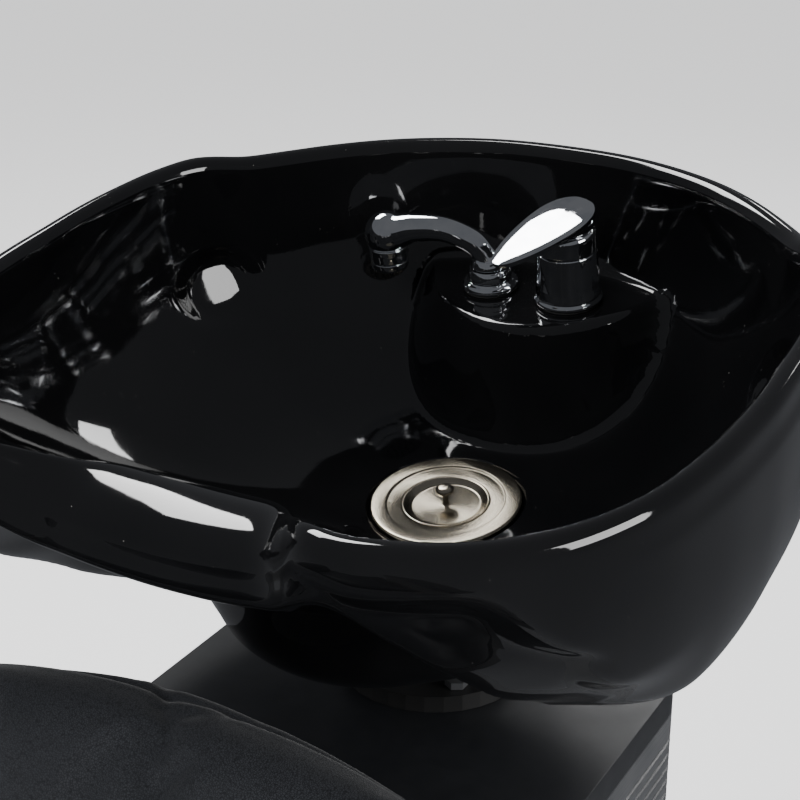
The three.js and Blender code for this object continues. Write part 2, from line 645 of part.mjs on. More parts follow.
function cradle() {
  // plate bolted under the foot with a lug down to each cheek; leans with the basin
  const plateTop = FOOT_Z - CLEAR
  const plate = turned(ringProfile(39, 58, plateTop - 6, plateTop), 28)
  seat(plate)
  const parts = [plate]
  for (const side of [-1, 1]) {
    const x1 = side * (CHEEK_X - 0.5)
    const x0 = side * (CHEEK_X - 0.5 - LUG_T)
    const lug = new THREE.Shape()
    lug.moveTo(-17, 0)
    lug.absarc(0, 0, 17, Math.PI, 0, false)
    lug.lineTo(17, 26)
    lug.lineTo(-17, 26)
    lug.lineTo(-17, 0)
    const hole = new THREE.Path()
    hole.absarc(0, 0, PIN_R + 0.3, 0, Math.PI * 2, true)
    lug.holes.push(hole)
    const g = new THREE.ExtrudeGeometry(lug, { depth: LUG_T, bevelEnabled: false, curveSegments: 6 })
    g.rotateX(Math.PI / 2)
    g.rotateZ(Math.PI / 2)
    g.translate(Math.min(x0, x1), MOUNT_Y, PIVOT_Z)
    parts.push(g)
  }
  add('tilt_cradle', joined(parts), BLACK_METAL)
}

// ---- pedestal -------------------------------------------------------------------------------
function pedestalOutline(inset, front, rear) {
  const w = PED_HALF - inset
  const r = CORNER_R - inset
  const s = new THREE.Shape()
  s.moveTo(-w, front)
  s.lineTo(w, front)
  s.lineTo(w, rear - r)
  s.absarc(w - r, rear - r, r, 0, Math.PI / 2, false)
  s.lineTo(-w + r, rear)
  s.absarc(-w + r, rear - r, r, Math.PI / 2, Math.PI, false)
  s.lineTo(-w, front)
  return s
}

function flutedPanel(side) {
  // side panel that turns the rear corner; level flutes cut into its outer face
  const rear = PED_REAR
  const end = DOOR_HALF + DOOR_GAP
  const corner = 3
  const path = [[PED_HALF, PED_FRONT, 1, 0]]
  for (let i = 0; i <= corner; i++) {
    const t = Math.PI / 2 * i / corner
    path.push([PED_HALF - CORNER_R + CORNER_R * Math.cos(t), rear - CORNER_R + CORNER_R * Math.sin(t),
      Math.cos(t), Math.sin(t)])
  }
  path.push([end, rear, 0, 1])
  const z1 = PED_TOP - TOP_T - CLEAR
  const rows = [[SHELL_BOTTOM, 0]]
  const start = z1 - 22 - (FLUTE_COUNT - 1) * FLUTE_PITCH
  for (let i = 0; i < FLUTE_COUNT; i++) {
    const z = start + i * FLUTE_PITCH
    rows.push([z - FLUTE_W / 2, 0], [z, FLUTE_DEPTH], [z + FLUTE_W / 2, 0])
  }
  rows.push([z1, 0], [z1, SKIN_T], [SHELL_BOTTOM, SKIN_T])
  const position = []
  for (const [x, y, nx, ny] of path) {
    for (const [z, inset] of rows) position.push((x - nx * inset) * side, y - ny * inset, z)
  }
  const n = rows.length
  const index = []
  const quad = (a, b, c, d) => {
    if (side > 0) index.push(a, b, c, a, c, d)
    else index.push(a, c, b, a, d, c)
  }
  for (let i = 0; i < path.length - 1; i++) {
    for (let j = 0; j < n; j++) {
      const k = (j + 1) % n
      quad(i * n + j, (i + 1) * n + j, (i + 1) * n + k, i * n + k)
    }
  }
  const flat = rows.map(([z, inset]) => new THREE.Vector2(inset, z))
  for (const f of THREE.ShapeUtils.triangulateShape(flat, [])) {
    const o = (path.length - 1) * n
    const near = side > 0 ? [f[0], f[2], f[1]] : [f[0], f[1], f[2]]
    const far = side > 0 ? [f[0], f[1], f[2]] : [f[0], f[2], f[1]]
    index.push(...near)
    index.push(...far.map(v => v + o))
  }
  const g = new THREE.BufferGeometry()
  g.setAttribute('position', new THREE.Float32BufferAttribute(position, 3))
  g.setIndex(index)
  g.computeVertexNormals()
  return g
}

function pedestal() {
  const top = pedestalOutline(0, PED_FRONT, PED_REAR)
  const slot = new THREE.Path()
  slot.absarc(0, MOUNT_Y, PLATE_BORE - 4, 0, Math.PI * 2, true)
  top.holes.push(slot)
  for (const x of [-BOLT_AT, BOLT_AT]) {
    for (const y of [-BOLT_AT, BOLT_AT]) {
      const hole = new THREE.Path()
      hole.absarc(x, MOUNT_Y + y, BOLT_R + 0.3, 0, Math.PI * 2, true)
      top.holes.push(hole)
    }
  }
  add('pedestal_top', slab(top, PED_TOP - TOP_T, PED_TOP, 6), LAMINATE)
  for (const side of [-1, 1]) add(`fluted_panel_${side < 0 ? 'left' : 'right'}`, flutedPanel(side), PLASTIC)
  const inside = PED_HALF - SKIN_T - CLEAR
  const under = PED_TOP - TOP_T - CLEAR
  add('pedestal_front', box(-inside, inside, PED_FRONT, PED_FRONT + SKIN_T, SHELL_BOTTOM, under), LAMINATE)
  add('pedestal_floor', slab(pedestalOutline(SKIN_T + 2, PED_FRONT + SKIN_T + CLEAR, PED_REAR - SKIN_T - 2),
    SHELL_BOTTOM, SHELL_BOTTOM + 18, 4), LAMINATE)
  for (const side of [-1, 1]) {
    const x = side * (PED_HALF - 42)
    add(`post_${side < 0 ? 'left' : 'right'}`, box(x - 15, x + 15, DRAIN_Y - 15, DRAIN_Y + 15,
      SHELL_BOTTOM + 18 + CLEAR, PED_TOP - TOP_T - CLEAR), BLACK_METAL)
  }
  door()
}

const KNOB_X = 68
const KNOB_Z = 330
const KNOB_STEM_R = 3
const DOOR_PIN_X = -DOOR_HALF + 7.5
const DOOR_Z0 = 48
const DOOR_Z1 = PED_TOP - 36

function door() {
  const y0 = PED_REAR - SKIN_T
  const mid = PED_REAR - SKIN_T / 2
  const pinHole = (z0, z1) => {
    const g = rod(2.8, z0, z1, 16)
    g.translate(DOOR_PIN_X, mid, 0)
    return g
  }
  const knobHole = rod(KNOB_STEM_R + 0.3, -20, 20, 16)
  knobHole.rotateX(Math.PI / 2)
  knobHole.translate(KNOB_X, mid, KNOB_Z)
  add('service_door', cut(box(-DOOR_HALF, DOOR_HALF, y0, PED_REAR, DOOR_Z0, DOOR_Z1),
    [pinHole(DOOR_Z0 - 5, DOOR_Z0 + 14), pinHole(DOOR_Z1 - 14, DOOR_Z1 + 5), knobHole]), LAMINATE)
  const plateHalf = DOOR_HALF + DOOR_GAP - CLEAR
  const plate = (z0, z1) => box(-plateHalf, plateHalf, y0, PED_REAR, z0, z1)
  const pin = (z0, z1) => {
    const g = rod(2.5, z0, z1, 16)
    g.translate(DOOR_PIN_X, mid, 0)
    return g
  }
  add('door_sill', joined([plate(SHELL_BOTTOM, DOOR_Z0 - 1.5), pin(DOOR_Z0 - 4, DOOR_Z0 + 12)]), BLACK_METAL)
  const headTop = PED_TOP - TOP_T - CLEAR
  add('door_head', joined([plate(DOOR_Z1 + 1.5, headTop), pin(DOOR_Z1 - 12, DOOR_Z1 + 4)]), BLACK_METAL)
  const knob = joined([rod(KNOB_STEM_R, -SKIN_T, 2, 16),
    turned([[0, CLEAR], [6, CLEAR], [6, 8], [13, 12], [15, 17], [12, 21], [0, 22]], 20)])
  knob.rotateX(-Math.PI / 2)
  knob.translate(KNOB_X, PED_REAR, KNOB_Z)
  add('door_knob', knob, CHROME)
}

// ---- chair ----------------------------------------------------------------------------------
function chair() {
  const seatPad = pillow(2 * SEAT_HALF, SEAT_REAR - SEAT_FRONT, SEAT_T, 46, 30)
  seatPad.translate(0, (SEAT_FRONT + SEAT_REAR) / 2, SEAT_TOP - SEAT_T)
  add('seat_cushion', seatPad, LEATHER)
  const under = SEAT_TOP - SEAT_T - CLEAR
  const plyHalf = SEAT_HALF - 8
  add('seat_board', box(-plyHalf, plyHalf, SEAT_FRONT + 20, SEAT_REAR - 8, under - BOARD_T, under), PLY)

  const place = g => {
    g.rotateX(Math.PI / 2)
    g.rotateX(-BACK_LEAN)
    g.translate(0, BACK_FOOT_Y, BACK_FOOT_Z)
    return g
  }
  const backPad = pillow(2 * SEAT_HALF, BACK_H, BACK_T, 70, 36)
  backPad.translate(0, BACK_H / 2, 0)
  add('back_cushion', place(backPad), LEATHER)
  const board = box(-SEAT_HALF + 14, SEAT_HALF - 14, 14, BACK_H - 20, -BOARD_T - CLEAR, -CLEAR)
  add('back_board', place(board), LAMINATE)

  for (const side of [-1, 1]) {
    const name = side < 0 ? 'left' : 'right'
    const x0 = side < 0 ? -ARM_IN - ARM_T : ARM_IN
    const panel = pillow(ARM_REAR - ARM_FRONT, ARM_TOP - 42 - ARM_BOTTOM, ARM_T, 30, 12)
    panel.rotateX(Math.PI / 2)
    panel.rotateZ(Math.PI / 2)
    panel.translate(x0, (ARM_FRONT + ARM_REAR) / 2, (ARM_TOP - 42 + ARM_BOTTOM) / 2)
    add(`arm_panel_${name}`, panel, LEATHER)
    const pad = pillow(ARM_T + 8, ARM_REAR - ARM_FRONT - 10, 40, 30, 14)
    pad.translate(x0 + ARM_T / 2, (ARM_FRONT + ARM_REAR) / 2, ARM_TOP - 41)
    add(`arm_pad_${name}`, pad, LEATHER)
    // flat bar: upright off the frame, then leaning along the back board
    const x = side * STRUT_X
    const y = BACK_FOOT_Y + 21.5
    const lean = place(box(x - 16, x + 16, 20, 210, -BOARD_T - 2 * CLEAR - 8, -BOARD_T - 2 * CLEAR))
    const strut = joined([lean, box(x - 16, x + 16, y, y + 8, ARM_BOTTOM, BACK_FOOT_Z + 18)])
    add(`back_strut_${name}`, strut, BLACK_METAL)
  }
  const boardUnder = under - BOARD_T - CLEAR
  const panelY = SEAT_FRONT + 30
  add('front_panel', box(-SEAT_HALF, SEAT_HALF, panelY, panelY + 14, ARM_BOTTOM, boardUnder), LAMINATE)
  chairFrame()
}

function chairFrame() {
  const t = FRAME_TUBE
  const y0 = SEAT_FRONT + 26
  const y1 = PED_FRONT - 4
  const rails = [-1, 1].map(s => box(s * RAIL_X - t / 2, s * RAIL_X + t / 2, y0, y1, FRAME_Z, FRAME_Z + t))
  const wide = ARM_IN + ARM_T - 12
  const cross = [y0, ARM_REAR - 60].map(y => box(-wide, wide, y, y + t, FRAME_Z, FRAME_Z + t))
  cross.push(box(-RAIL_X, RAIL_X, BACK_FOOT_Y + 10, BACK_FOOT_Y + 10 + t, FRAME_Z, FRAME_Z + t))
  const legs = []
  const seatUnder = SEAT_TOP - SEAT_T - BOARD_T - 2 * CLEAR
  for (const s of [-1, 1]) {
    for (const y of [y0 + t, SEAT_REAR - 50]) {
      legs.push(box(s * RAIL_X - t / 2, s * RAIL_X + t / 2, y, y + t, FRAME_Z, seatUnder))
    }
  }
  add('chair_frame', joined([...rails, ...cross, ...legs]), BLACK_METAL)
}

function feet() {
  const spots = []
  for (const s of [-1, 1]) {
    spots.push([s * RAIL_X, SEAT_FRONT + 65], [s * RAIL_X, PED_FRONT - 40], [s * (PED_HALF - 40), PED_REAR - 60])
  }
  spots.forEach(([x, y], i) => {
    const stemTop = SHELL_BOTTOM - CLEAR
    const g = turned([[0, 0], [18, 0], [18, 6], [6, 11], [6, stemTop], [0, stemTop]], 12)
    g.translate(x, y, 0)
    add(`foot_${i + 1}`, g, PLASTIC)
  })
}

basin()
waste()
mixer()
handShower()
mount()
pedestal()
chair()
feet()

export default unit
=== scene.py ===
# %% [markdown]
# # Shampoo backwash unit
# A wash chair with a tilting black ceramic basin on a fluted pedestal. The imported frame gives
# every piece its place and its moving body. This lesson puts the visible skins on that frame:
# glazed ceramic, chromed fittings, a spun steel waste, sewn leather pads and the cabinet.
# Everything is in metres, in the frame's own axes, with +Z up and +Y towards the back.

# %% Load the frame
import json
import math
import bpy
import numpy as np
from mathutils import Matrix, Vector


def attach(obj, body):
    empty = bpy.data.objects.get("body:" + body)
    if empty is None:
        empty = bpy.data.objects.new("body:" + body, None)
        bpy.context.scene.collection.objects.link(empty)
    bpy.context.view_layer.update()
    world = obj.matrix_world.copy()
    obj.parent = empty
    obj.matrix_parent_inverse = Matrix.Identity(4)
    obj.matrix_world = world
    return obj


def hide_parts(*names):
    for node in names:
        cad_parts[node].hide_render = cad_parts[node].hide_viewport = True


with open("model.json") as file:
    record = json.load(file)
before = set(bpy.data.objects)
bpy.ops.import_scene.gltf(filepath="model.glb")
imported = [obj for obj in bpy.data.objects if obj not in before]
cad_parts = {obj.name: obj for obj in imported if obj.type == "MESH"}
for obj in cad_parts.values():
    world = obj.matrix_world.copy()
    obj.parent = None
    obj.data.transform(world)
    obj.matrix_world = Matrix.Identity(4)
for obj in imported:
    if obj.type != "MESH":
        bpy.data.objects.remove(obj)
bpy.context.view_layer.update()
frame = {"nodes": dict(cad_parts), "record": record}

NODES = frame["nodes"]
MM = 0.001

# %% [markdown]
# ## Camera
# The viewer stands in front of the chair, to its left hand side, and looks down into the bowl.
# A long lens keeps the rim's ellipse calm. The camera is made first, because every later step
# is judged through it.

# %% Camera
WASTE = np.array([0.0, 370.4, 760.0])      # centre of the waste, floor frame, mm
camera = bpy.data.objects.new("camera", bpy.data.cameras.new("camera"))
bpy.context.scene.collection.objects.link(camera)
camera.location = (0.5023, -0.6048, 1.2862)
camera.rotation_euler = (math.radians(67.65), 0, math.radians(28.9))
camera.data.sensor_width = 36
camera.data.lens = 79.2
camera.data.clip_start = 0.05
bpy.context.scene.camera = camera

# %% [markdown]
# ## Working with whole arrays
# Each new skin is a function of two parameters on a grid of points. A grid needs quads between
# its neighbours, a fan of triangles wherever it shrinks to a point, and faces that look outwards.
# Writing these helpers once keeps each piece down to its own formula.

# %% Grid helpers
def grid_quads(rows, cols, wrap_rows=False, wrap_cols=True):
    """Quads between neighbours on a rows by cols grid; a wrapped direction joins its last line to its first."""
    i, j = np.meshgrid(np.arange(rows if wrap_rows else rows - 1),
                       np.arange(cols if wrap_cols else cols - 1), indexing="ij")
    i2, j2 = (i + 1) % rows, (j + 1) % cols
    return np.stack([i * cols + j, i * cols + j2, i2 * cols + j2, i2 * cols + j], -1).reshape(-1, 4)


def fan(pole, first, cols, turn=1):
    """Triangles from one pole point to a ring of cols points that starts at index first."""
    j = np.arange(cols)
    ring = np.stack([np.full(cols, pole), first + j, first + (j + 1) % cols], -1)
    return ring if turn > 0 else ring[:, ::-1]


def both_ends(rows, cols):
    """Fans that close the first and the last ring of a grid, whose two pole points follow the grid."""
    poles = rows * cols
    return np.vstack([fan(poles, 0, cols, -1), fan(poles + 1, (rows - 1) * cols, cols)])


def volume(points, tris):
    """Volume inside a closed surface: the sum of the boxes a . (b x c) of its triangles, over six."""
    a, b, c = points[tris[:, 0]], points[tris[:, 1]], points[tris[:, 2]]
    return float(np.einsum("ij,ij->i", a, np.cross(b, c)).sum() / 6)


def skin(name, parts, body, material, sharp=38, replaces=()):
    """A mesh object from closed parts, each (points in mm, quads, triangles), every part turned to face out."""
    points, quads, tris, start = [], [], [], 0
    for p, q, t in parts:
        p = np.asarray(p, float).reshape(-1, 3)
        q = np.asarray(q, int).reshape(-1, 4)
        t = np.asarray(t, int).reshape(-1, 3)
        whole = np.vstack([q[:, [0, 1, 2]], q[:, [0, 2, 3]], t])
        if volume(p, whole) < 0:
            q, t = q[:, ::-1], t[:, ::-1]
        points.append(p * MM)
        quads.append(q + start)
        tris.append(t + start)
        start += len(p)
    mesh = bpy.data.meshes.new(name)
    mesh.from_pydata(np.vstack(points).tolist(), [], np.vstack(quads).tolist() + np.vstack(tris).tolist())
    mesh.update()
    mesh.shade_smooth()
    if sharp:
        mesh.set_sharp_from_angle(angle=math.radians(sharp))
    piece = bpy.data.objects.new(name, mesh)
    bpy.context.scene.collection.objects.link(piece)
    mesh.materials.append(material)
    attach(piece, body)
    if replaces:
        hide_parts(*replaces)
    print(f"{name}: {len(mesh.polygons)} faces on {body}")
    return piece


# %% Profiles, turning and sweeping
def smooth(a, b, x):
    """0 before a, 1 after b, and the S curve t*t*(3 - 2t) between them."""
    t = np.clip((x - a) / (b - a), 0, 1)
    return t * t * (3 - 2 * t)


def eased(profile, radius, steps=4, closed=True):
    """Each corner of a profile becomes a short quadratic arc that starts radius away from it, or 45% of the side."""
    p = np.asarray(profile, float)
    before, after = np.roll(p, 1, 0) - p, np.roll(p, -1, 0) - p
    near = lambda d: d * np.minimum(0.45, radius / np.maximum(np.linalg.norm(d, axis=1), 1e-9))[:, None]
    a, b = p + near(before), p + near(after)
    if not closed:
        a[0] = b[0] = p[0]
        a[-1] = b[-1] = p[-1]
    t = np.linspace(0, 1, steps + 1)[None, :, None]
    arcs = (1 - t) ** 2 * a[:, None] + 2 * t * (1 - t) * p[:, None] + t ** 2 * b[:, None]
    if not closed:
        return np.vstack([p[:1], arcs[1:-1].reshape(-1, 2), p[-1:]])
    return arcs.reshape(-1, 2)


def turned(profile, cols=96, ends="axis"):
    """A profile of (radius, height) carried round Z. Ends on the axis close with a fan; a ring joins itself."""
    p = np.asarray(profile, float)
    a = np.linspace(0, 2 * np.pi, cols, endpoint=False)
    if ends == "ring":
        grid = np.stack([p[:, :1] * np.cos(a), p[:, :1] * np.sin(a), p[:, 1:] + 0 * a], -1)
        return grid.reshape(-1, 3), grid_quads(len(p), cols, wrap_rows=True), []
    body = p[1:-1]
    grid = np.stack([body[:, :1] * np.cos(a), body[:, :1] * np.sin(a), body[:, 1:] + 0 * a], -1)
    n = len(body)
    points = np.vstack([grid.reshape(-1, 3), [[0, 0, p[0, 1]], [0, 0, p[-1, 1]]]])
    return points, grid_quads(n, cols), both_ends(n, cols)


def swept(path, radii, cols=40, side=(0, 1, 0)):
    """Circles carried along a path. A circle's axes are side made square to the path, and their cross product."""
    p, r = np.asarray(path, float), np.asarray(radii, float)
    t = np.gradient(p, axis=0)
    t /= np.linalg.norm(t, axis=1)[:, None]
    u = np.asarray(side, float) - t * (t @ np.asarray(side, float))[:, None]
    u /= np.linalg.norm(u, axis=1)[:, None]
    v = np.cross(t, u)
    a = np.linspace(0, 2 * np.pi, cols, endpoint=False)
    cos_a, sin_a = np.cos(a)[None, :, None], np.sin(a)[None, :, None]
    grid = p[:, None] + r[:, None, None] * (u[:, None] * cos_a + v[:, None] * sin_a)
    n = len(p)
    points = np.vstack([grid.reshape(-1, 3), p[:1], p[-1:]])
    return points, grid_quads(n, cols), both_ends(n, cols)


def through(stations, count):
    """A smooth run through stations, in Catmull-Rom pieces:
    0.5 * (2b + (c - a) t + (2a - 5b + 4c - d) t^2 + (3b - a - 3c + d) t^3)."""
    s = np.asarray(stations, float)
    s = np.vstack([2 * s[0] - s[1], s, 2 * s[-1] - s[-2]])
    u = np.linspace(0, len(s) - 3 - 1e-9, count)
    k, t = u.astype(int), (u % 1)[:, None]
    a, b, c, d = s[k], s[k + 1], s[k + 2], s[k + 3]
    return 0.5 * (2 * b + (c - a) * t + (2 * a - 5 * b + 4 * c - d) * t ** 2 + (3 * b - a - 3 * c + d) * t ** 3)


def block(low, high, radius=2.0, n=5):
    """A box with rounded edges: the eight eighths of a ball of the radius, each pushed out to its corner."""
    low, high = np.asarray(low, float), np.asarray(high, float)
    centre, half = (low + high) / 2, (high - low) / 2
    radius = min(radius, 0.95 * half.min())
    core = half - radius
    steps = np.linspace(0, np.pi / 2, n)
    lat = np.concatenate([steps - np.pi / 2, steps])[1:-1]
    lon = np.concatenate([steps + q * np.pi / 2 for q in range(4)])
    la, lo = np.meshgrid(lat, lon, indexing="ij")
    ball = np.stack([np.cos(la) * np.cos(lo), np.cos(la) * np.sin(lo), np.sin(la)], -1)
    quarter = np.repeat(np.arange(4), n)
    sx = np.array([1, -1, -1, 1])[quarter]
    sy = np.array([1, 1, -1, -1])[quarter]
    sz = np.where(np.arange(len(lat)) < n - 1, -1, 1)[:, None] + 0 * sx
    push = np.stack([core[0] * sx + 0 * sz, core[1] * sy + 0 * sz, core[2] * sz], -1)
    grid = centre + push + radius * ball
    rows, cols = grid.shape[:2]
    under, over = centre - [0, 0, half[2]], centre + [0, 0, half[2]]
    points = np.vstack([grid.reshape(-1, 3), [under, over]])
    return points, grid_quads(rows, cols), both_ends(rows, cols)


# %% [markdown]
# ## Leaning with the basin
# The basin leans ten degrees towards the neck rest. Its skins and fittings are drawn upright about
# the waste, then leaned and lifted in one step, so their sizes stay plain numbers.

# %% Lean and place
TILT = math.radians(10)
DECK_Z, TAP_X, TAP_Y = 89.0, 31.0, 146.0


def leaned(part):
    """Turns a part about X through the waste by the lean, then lifts it to the waste's place."""
    p, q, t = part
    p = np.asarray(p, float)
    c, s = math.cos(TILT), math.sin(TILT)
    return np.stack([p[:, 0], p[:, 1] * c - p[:, 2] * s, p[:, 1] * s + p[:, 2] * c], -1) + WASTE, q, t


def moved(part, x=0, y=0, z=0):
    """Slides a part."""
    return np.asarray(part[0], float) + [x, y, z], part[1], part[2]


def on_deck(part, x):
    """Stands a part on the tap deck at x, then leans it with the basin."""
    return leaned(moved(part, x, TAP_Y, DECK_Z))


# %% [markdown]
# ## Finishes
# Each finish is a small node tree on Object coordinates, in metres, so a scale of 1000 gives
# millimetre detail. Colours are linear. Roughness and bump carry most of what the eye reads:
# waves in the glaze, grain in the leather, turning marks in the steel.

# %% Finish helpers
def finish(name, color, roughness, **sockets):
    """A Principled material with its plain values set on the shader's own sockets."""
    m = bpy.data.materials.new(name)
    m.use_nodes = True
    shader = m.node_tree.nodes["Principled BSDF"]
    shader.inputs["Base Color"].default_value = (*color, 1)
    shader.inputs["Roughness"].default_value = roughness
    for key, value in sockets.items():
        shader.inputs[key.replace("_", " ")].default_value = value
    m.diffuse_color = (*color, 1)
    return m


def node(m, kind, inputs=None, **settings):
    """Adds a node, sets its properties, and links or sets its inputs."""
    n = m.node_tree.nodes.new("ShaderNode" + kind)
    for key, value in settings.items():
        setattr(n, key, value)
    for key, value in (inputs or {}).items():
        if isinstance(value, bpy.types.NodeSocket):
            m.node_tree.links.new(value, n.inputs[key])
        else:
            n.inputs[key].default_value = value
    return n


def link(m, socket, name):
    """Feeds the shader's named input."""
    m.node_tree.links.new(socket, m.node_tree.nodes["Principled BSDF"].inputs[name])


def place_of(m):
    """The Object coordinates of the point being shaded."""
    return node(m, "TexCoord").outputs["Object"]


def noise(m, at, scale, detail=2.0, rough=0.5):
    """Smooth noise at a scale, about 0 to 1."""
    return node(m, "TexNoise", {"Vector": at, "Scale": scale, "Detail": detail, "Roughness": rough}).outputs["Fac"]


def spread(m, value, low, high, start=0.0, end=1.0):
    """Maps a value from start..end to low..high, held at both ends."""
    n = node(m, "MapRange", {"Value": value, "From Min": start, "From Max": end, "To Min": low, "To Max": high})
    return n.outputs["Result"]


def sums(m, kind, a, b):
    """One sum of two numbers or sockets."""
    return node(m, "Math", {0: a, 1: b}, operation=kind).outputs[0]


def tint(m, factor, a, b):
    """A colour between a and b."""
    n = node(m, "Mix", data_type="RGBA")
    n.inputs[6].default_value = (*a, 1)
    n.inputs[7].default_value = (*b, 1)
    m.node_tree.links.new(factor, n.inputs[0])
    return n.outputs[2]


def bumps(m, *layers):
    """Bump nodes in a row, each (height socket, distance in metres, strength), feeding the normal."""
    last = None
    for height, distance, strength in layers:
        n = node(m, "Bump", {"Height": height, "Distance": distance, "Strength": strength})
        if last:
            m.node_tree.links.new(last, n.inputs["Normal"])
        last = n.outputs["Normal"]
    link(m, last, "Normal")


# %% [markdown]
# ### Glaze
# A fired black glaze is a deep gloss over a dark body. It is never quite flat: it pulls into long
# waves over the casting, has a faint orange peel, and carries a little dust. A flat mirror would
# look like plastic, so three bump layers of very different length do the work.

# %% Glaze
def make_glaze():
    """Near black body, thin clear coat, long waves, orange peel and sparse dust."""
    m = finish("black_glaze", (0.0035, 0.0036, 0.004), 0.05, Coat_Weight=0.6, Coat_Roughness=0.015, IOR=1.52)
    at = place_of(m)
    cells = node(m, "TexVoronoi", {"Vector": at, "Scale": 210.0}, feature="F1")
    rare = spread(m, noise(m, at, 37.0, 3.0), 0.0, 0.085, 0.5, 0.72)
    dust = sums(m, "LESS_THAN", cells.outputs["Distance"], rare)
    cloud = spread(m, noise(m, at, 6.0, 3.0), 0.0, 1.0, 0.35, 0.7)
    body = node(m, "Mix", {0: dust}, data_type="RGBA")
    m.node_tree.links.new(tint(m, cloud, (0.0026, 0.0027, 0.0031), (0.0052, 0.0052, 0.0056)), body.inputs[6])
    body.inputs[7].default_value = (0.16, 0.155, 0.145, 1)
    link(m, body.outputs[2], "Base Color")
    link(m, spread(m, noise(m, at, 24.0, 4.0), 0.03, 0.085, 0.3, 0.75), "Roughness")
    bumps(m, (noise(m, at, 11.0, 1.0), 0.004, 0.16), (noise(m, at, 48.0, 1.0), 0.0008, 0.12),
          (noise(m, at, 420.0, 1.0), 0.00006, 0.18))
    return m


GLAZE = make_glaze()


# %% [markdown]
# ### Metals
# Chrome is a clean mirror with the odd water mark. The waste is spun stainless steel: its turning
# lines run round the drain, so the highlight opens into two fans. The lines are a noise read on
# the radius alone, and the shader's tangent runs round the same axis.

# %% Chrome, zinc and black metal
def make_chrome():
    """Bright plating over a faint brown-blue cast, with water marks in the roughness."""
    m = finish("chrome_plate", (0.82, 0.83, 0.85), 0.04, Metallic=1.0)
    at = place_of(m)
    marks = node(m, "TexVoronoi", {"Vector": at, "Scale": 130.0, "Randomness": 1.0}, feature="SMOOTH_F1")
    film = spread(m, noise(m, at, 60.0, 4.0), 0.0, 1.0, 0.42, 0.66)
    link(m, tint(m, film, (0.86, 0.87, 0.89), (0.74, 0.76, 0.79)), "Base Color")
    ring = spread(m, marks.outputs["Distance"], 0.035, 0.012, 0.0, 0.5)
    link(m, sums(m, "ADD", ring, spread(m, noise(m, at, 90.0, 4.0), 0.0, 0.05, 0.5, 0.8)), "Roughness")
    bumps(m, (noise(m, at, 35.0, 1.0), 0.0006, 0.08))
    return m


def make_plain_metal(name, dark, light, roughness, metallic, grain):
    """Plated or painted metal with a fine grain and slight blotches."""
    m = finish(name, dark, roughness, Metallic=metallic)
    at = place_of(m)
    link(m, tint(m, spread(m, noise(m, at, 18.0, 5.0), 0, 1, 0.3, 0.7), dark, light), "Base Color")
    link(m, spread(m, noise(m, at, 140.0, 4.0), roughness - 0.09, roughness + 0.12, 0.25, 0.75), "Roughness")
    bumps(m, (noise(m, at, grain, 3.0), 0.00008, 0.5))
    return m


CHROME = make_chrome()
ZINC = make_plain_metal("zinc_plate", (0.36, 0.37, 0.38), (0.52, 0.52, 0.5), 0.34, 1.0, 900)
BLACK_METAL = make_plain_metal("black_powder_coat", (0.012, 0.0125, 0.014), (0.02, 0.02, 0.022), 0.46, 0.0, 1500)


# %% Spun steel
def make_spun_steel():
    """Warm stainless turned about the waste's own leaning axis; lines and tangent follow the radius."""
    m = finish("spun_steel", (0.52, 0.47, 0.38), 0.22, Metallic=1.0, Anisotropic=0.82)
    local = node(m, "Mapping", {"Vector": place_of(m), "Location": tuple(WASTE * MM), "Rotation": (TILT, 0, 0)},
                 vector_type="TEXTURE").outputs["Vector"]
    flat = node(m, "VectorMath", {0: local, 1: (1, 1, 0)}, operation="MULTIPLY").outputs["Vector"]
    radius = node(m, "VectorMath", {0: flat}, operation="LENGTH").outputs["Value"]
    line = node(m, "CombineXYZ", {"X": radius}).outputs["Vector"]
    fine, coarse = noise(m, line, 5200.0, 3.0, 0.7), noise(m, line, 700.0, 3.0, 0.6)
    link(m, tint(m, coarse, (0.44, 0.39, 0.3), (0.62, 0.57, 0.47)), "Base Color")
    link(m, spread(m, fine, 0.16, 0.3, 0.3, 0.7), "Roughness")
    around = node(m, "VectorMath", {0: (0, -math.sin(TILT), math.cos(TILT)), 1: flat}, operation="CROSS_PRODUCT")
    link(m, node(m, "VectorMath", {0: around.outputs["Vector"]}, operation="NORMALIZE").outputs["Vector"], "Tangent")
    bumps(m, (coarse, 0.00012, 0.25), (fine, 0.00004, 0.3))
    return m


STEEL = make_spun_steel()
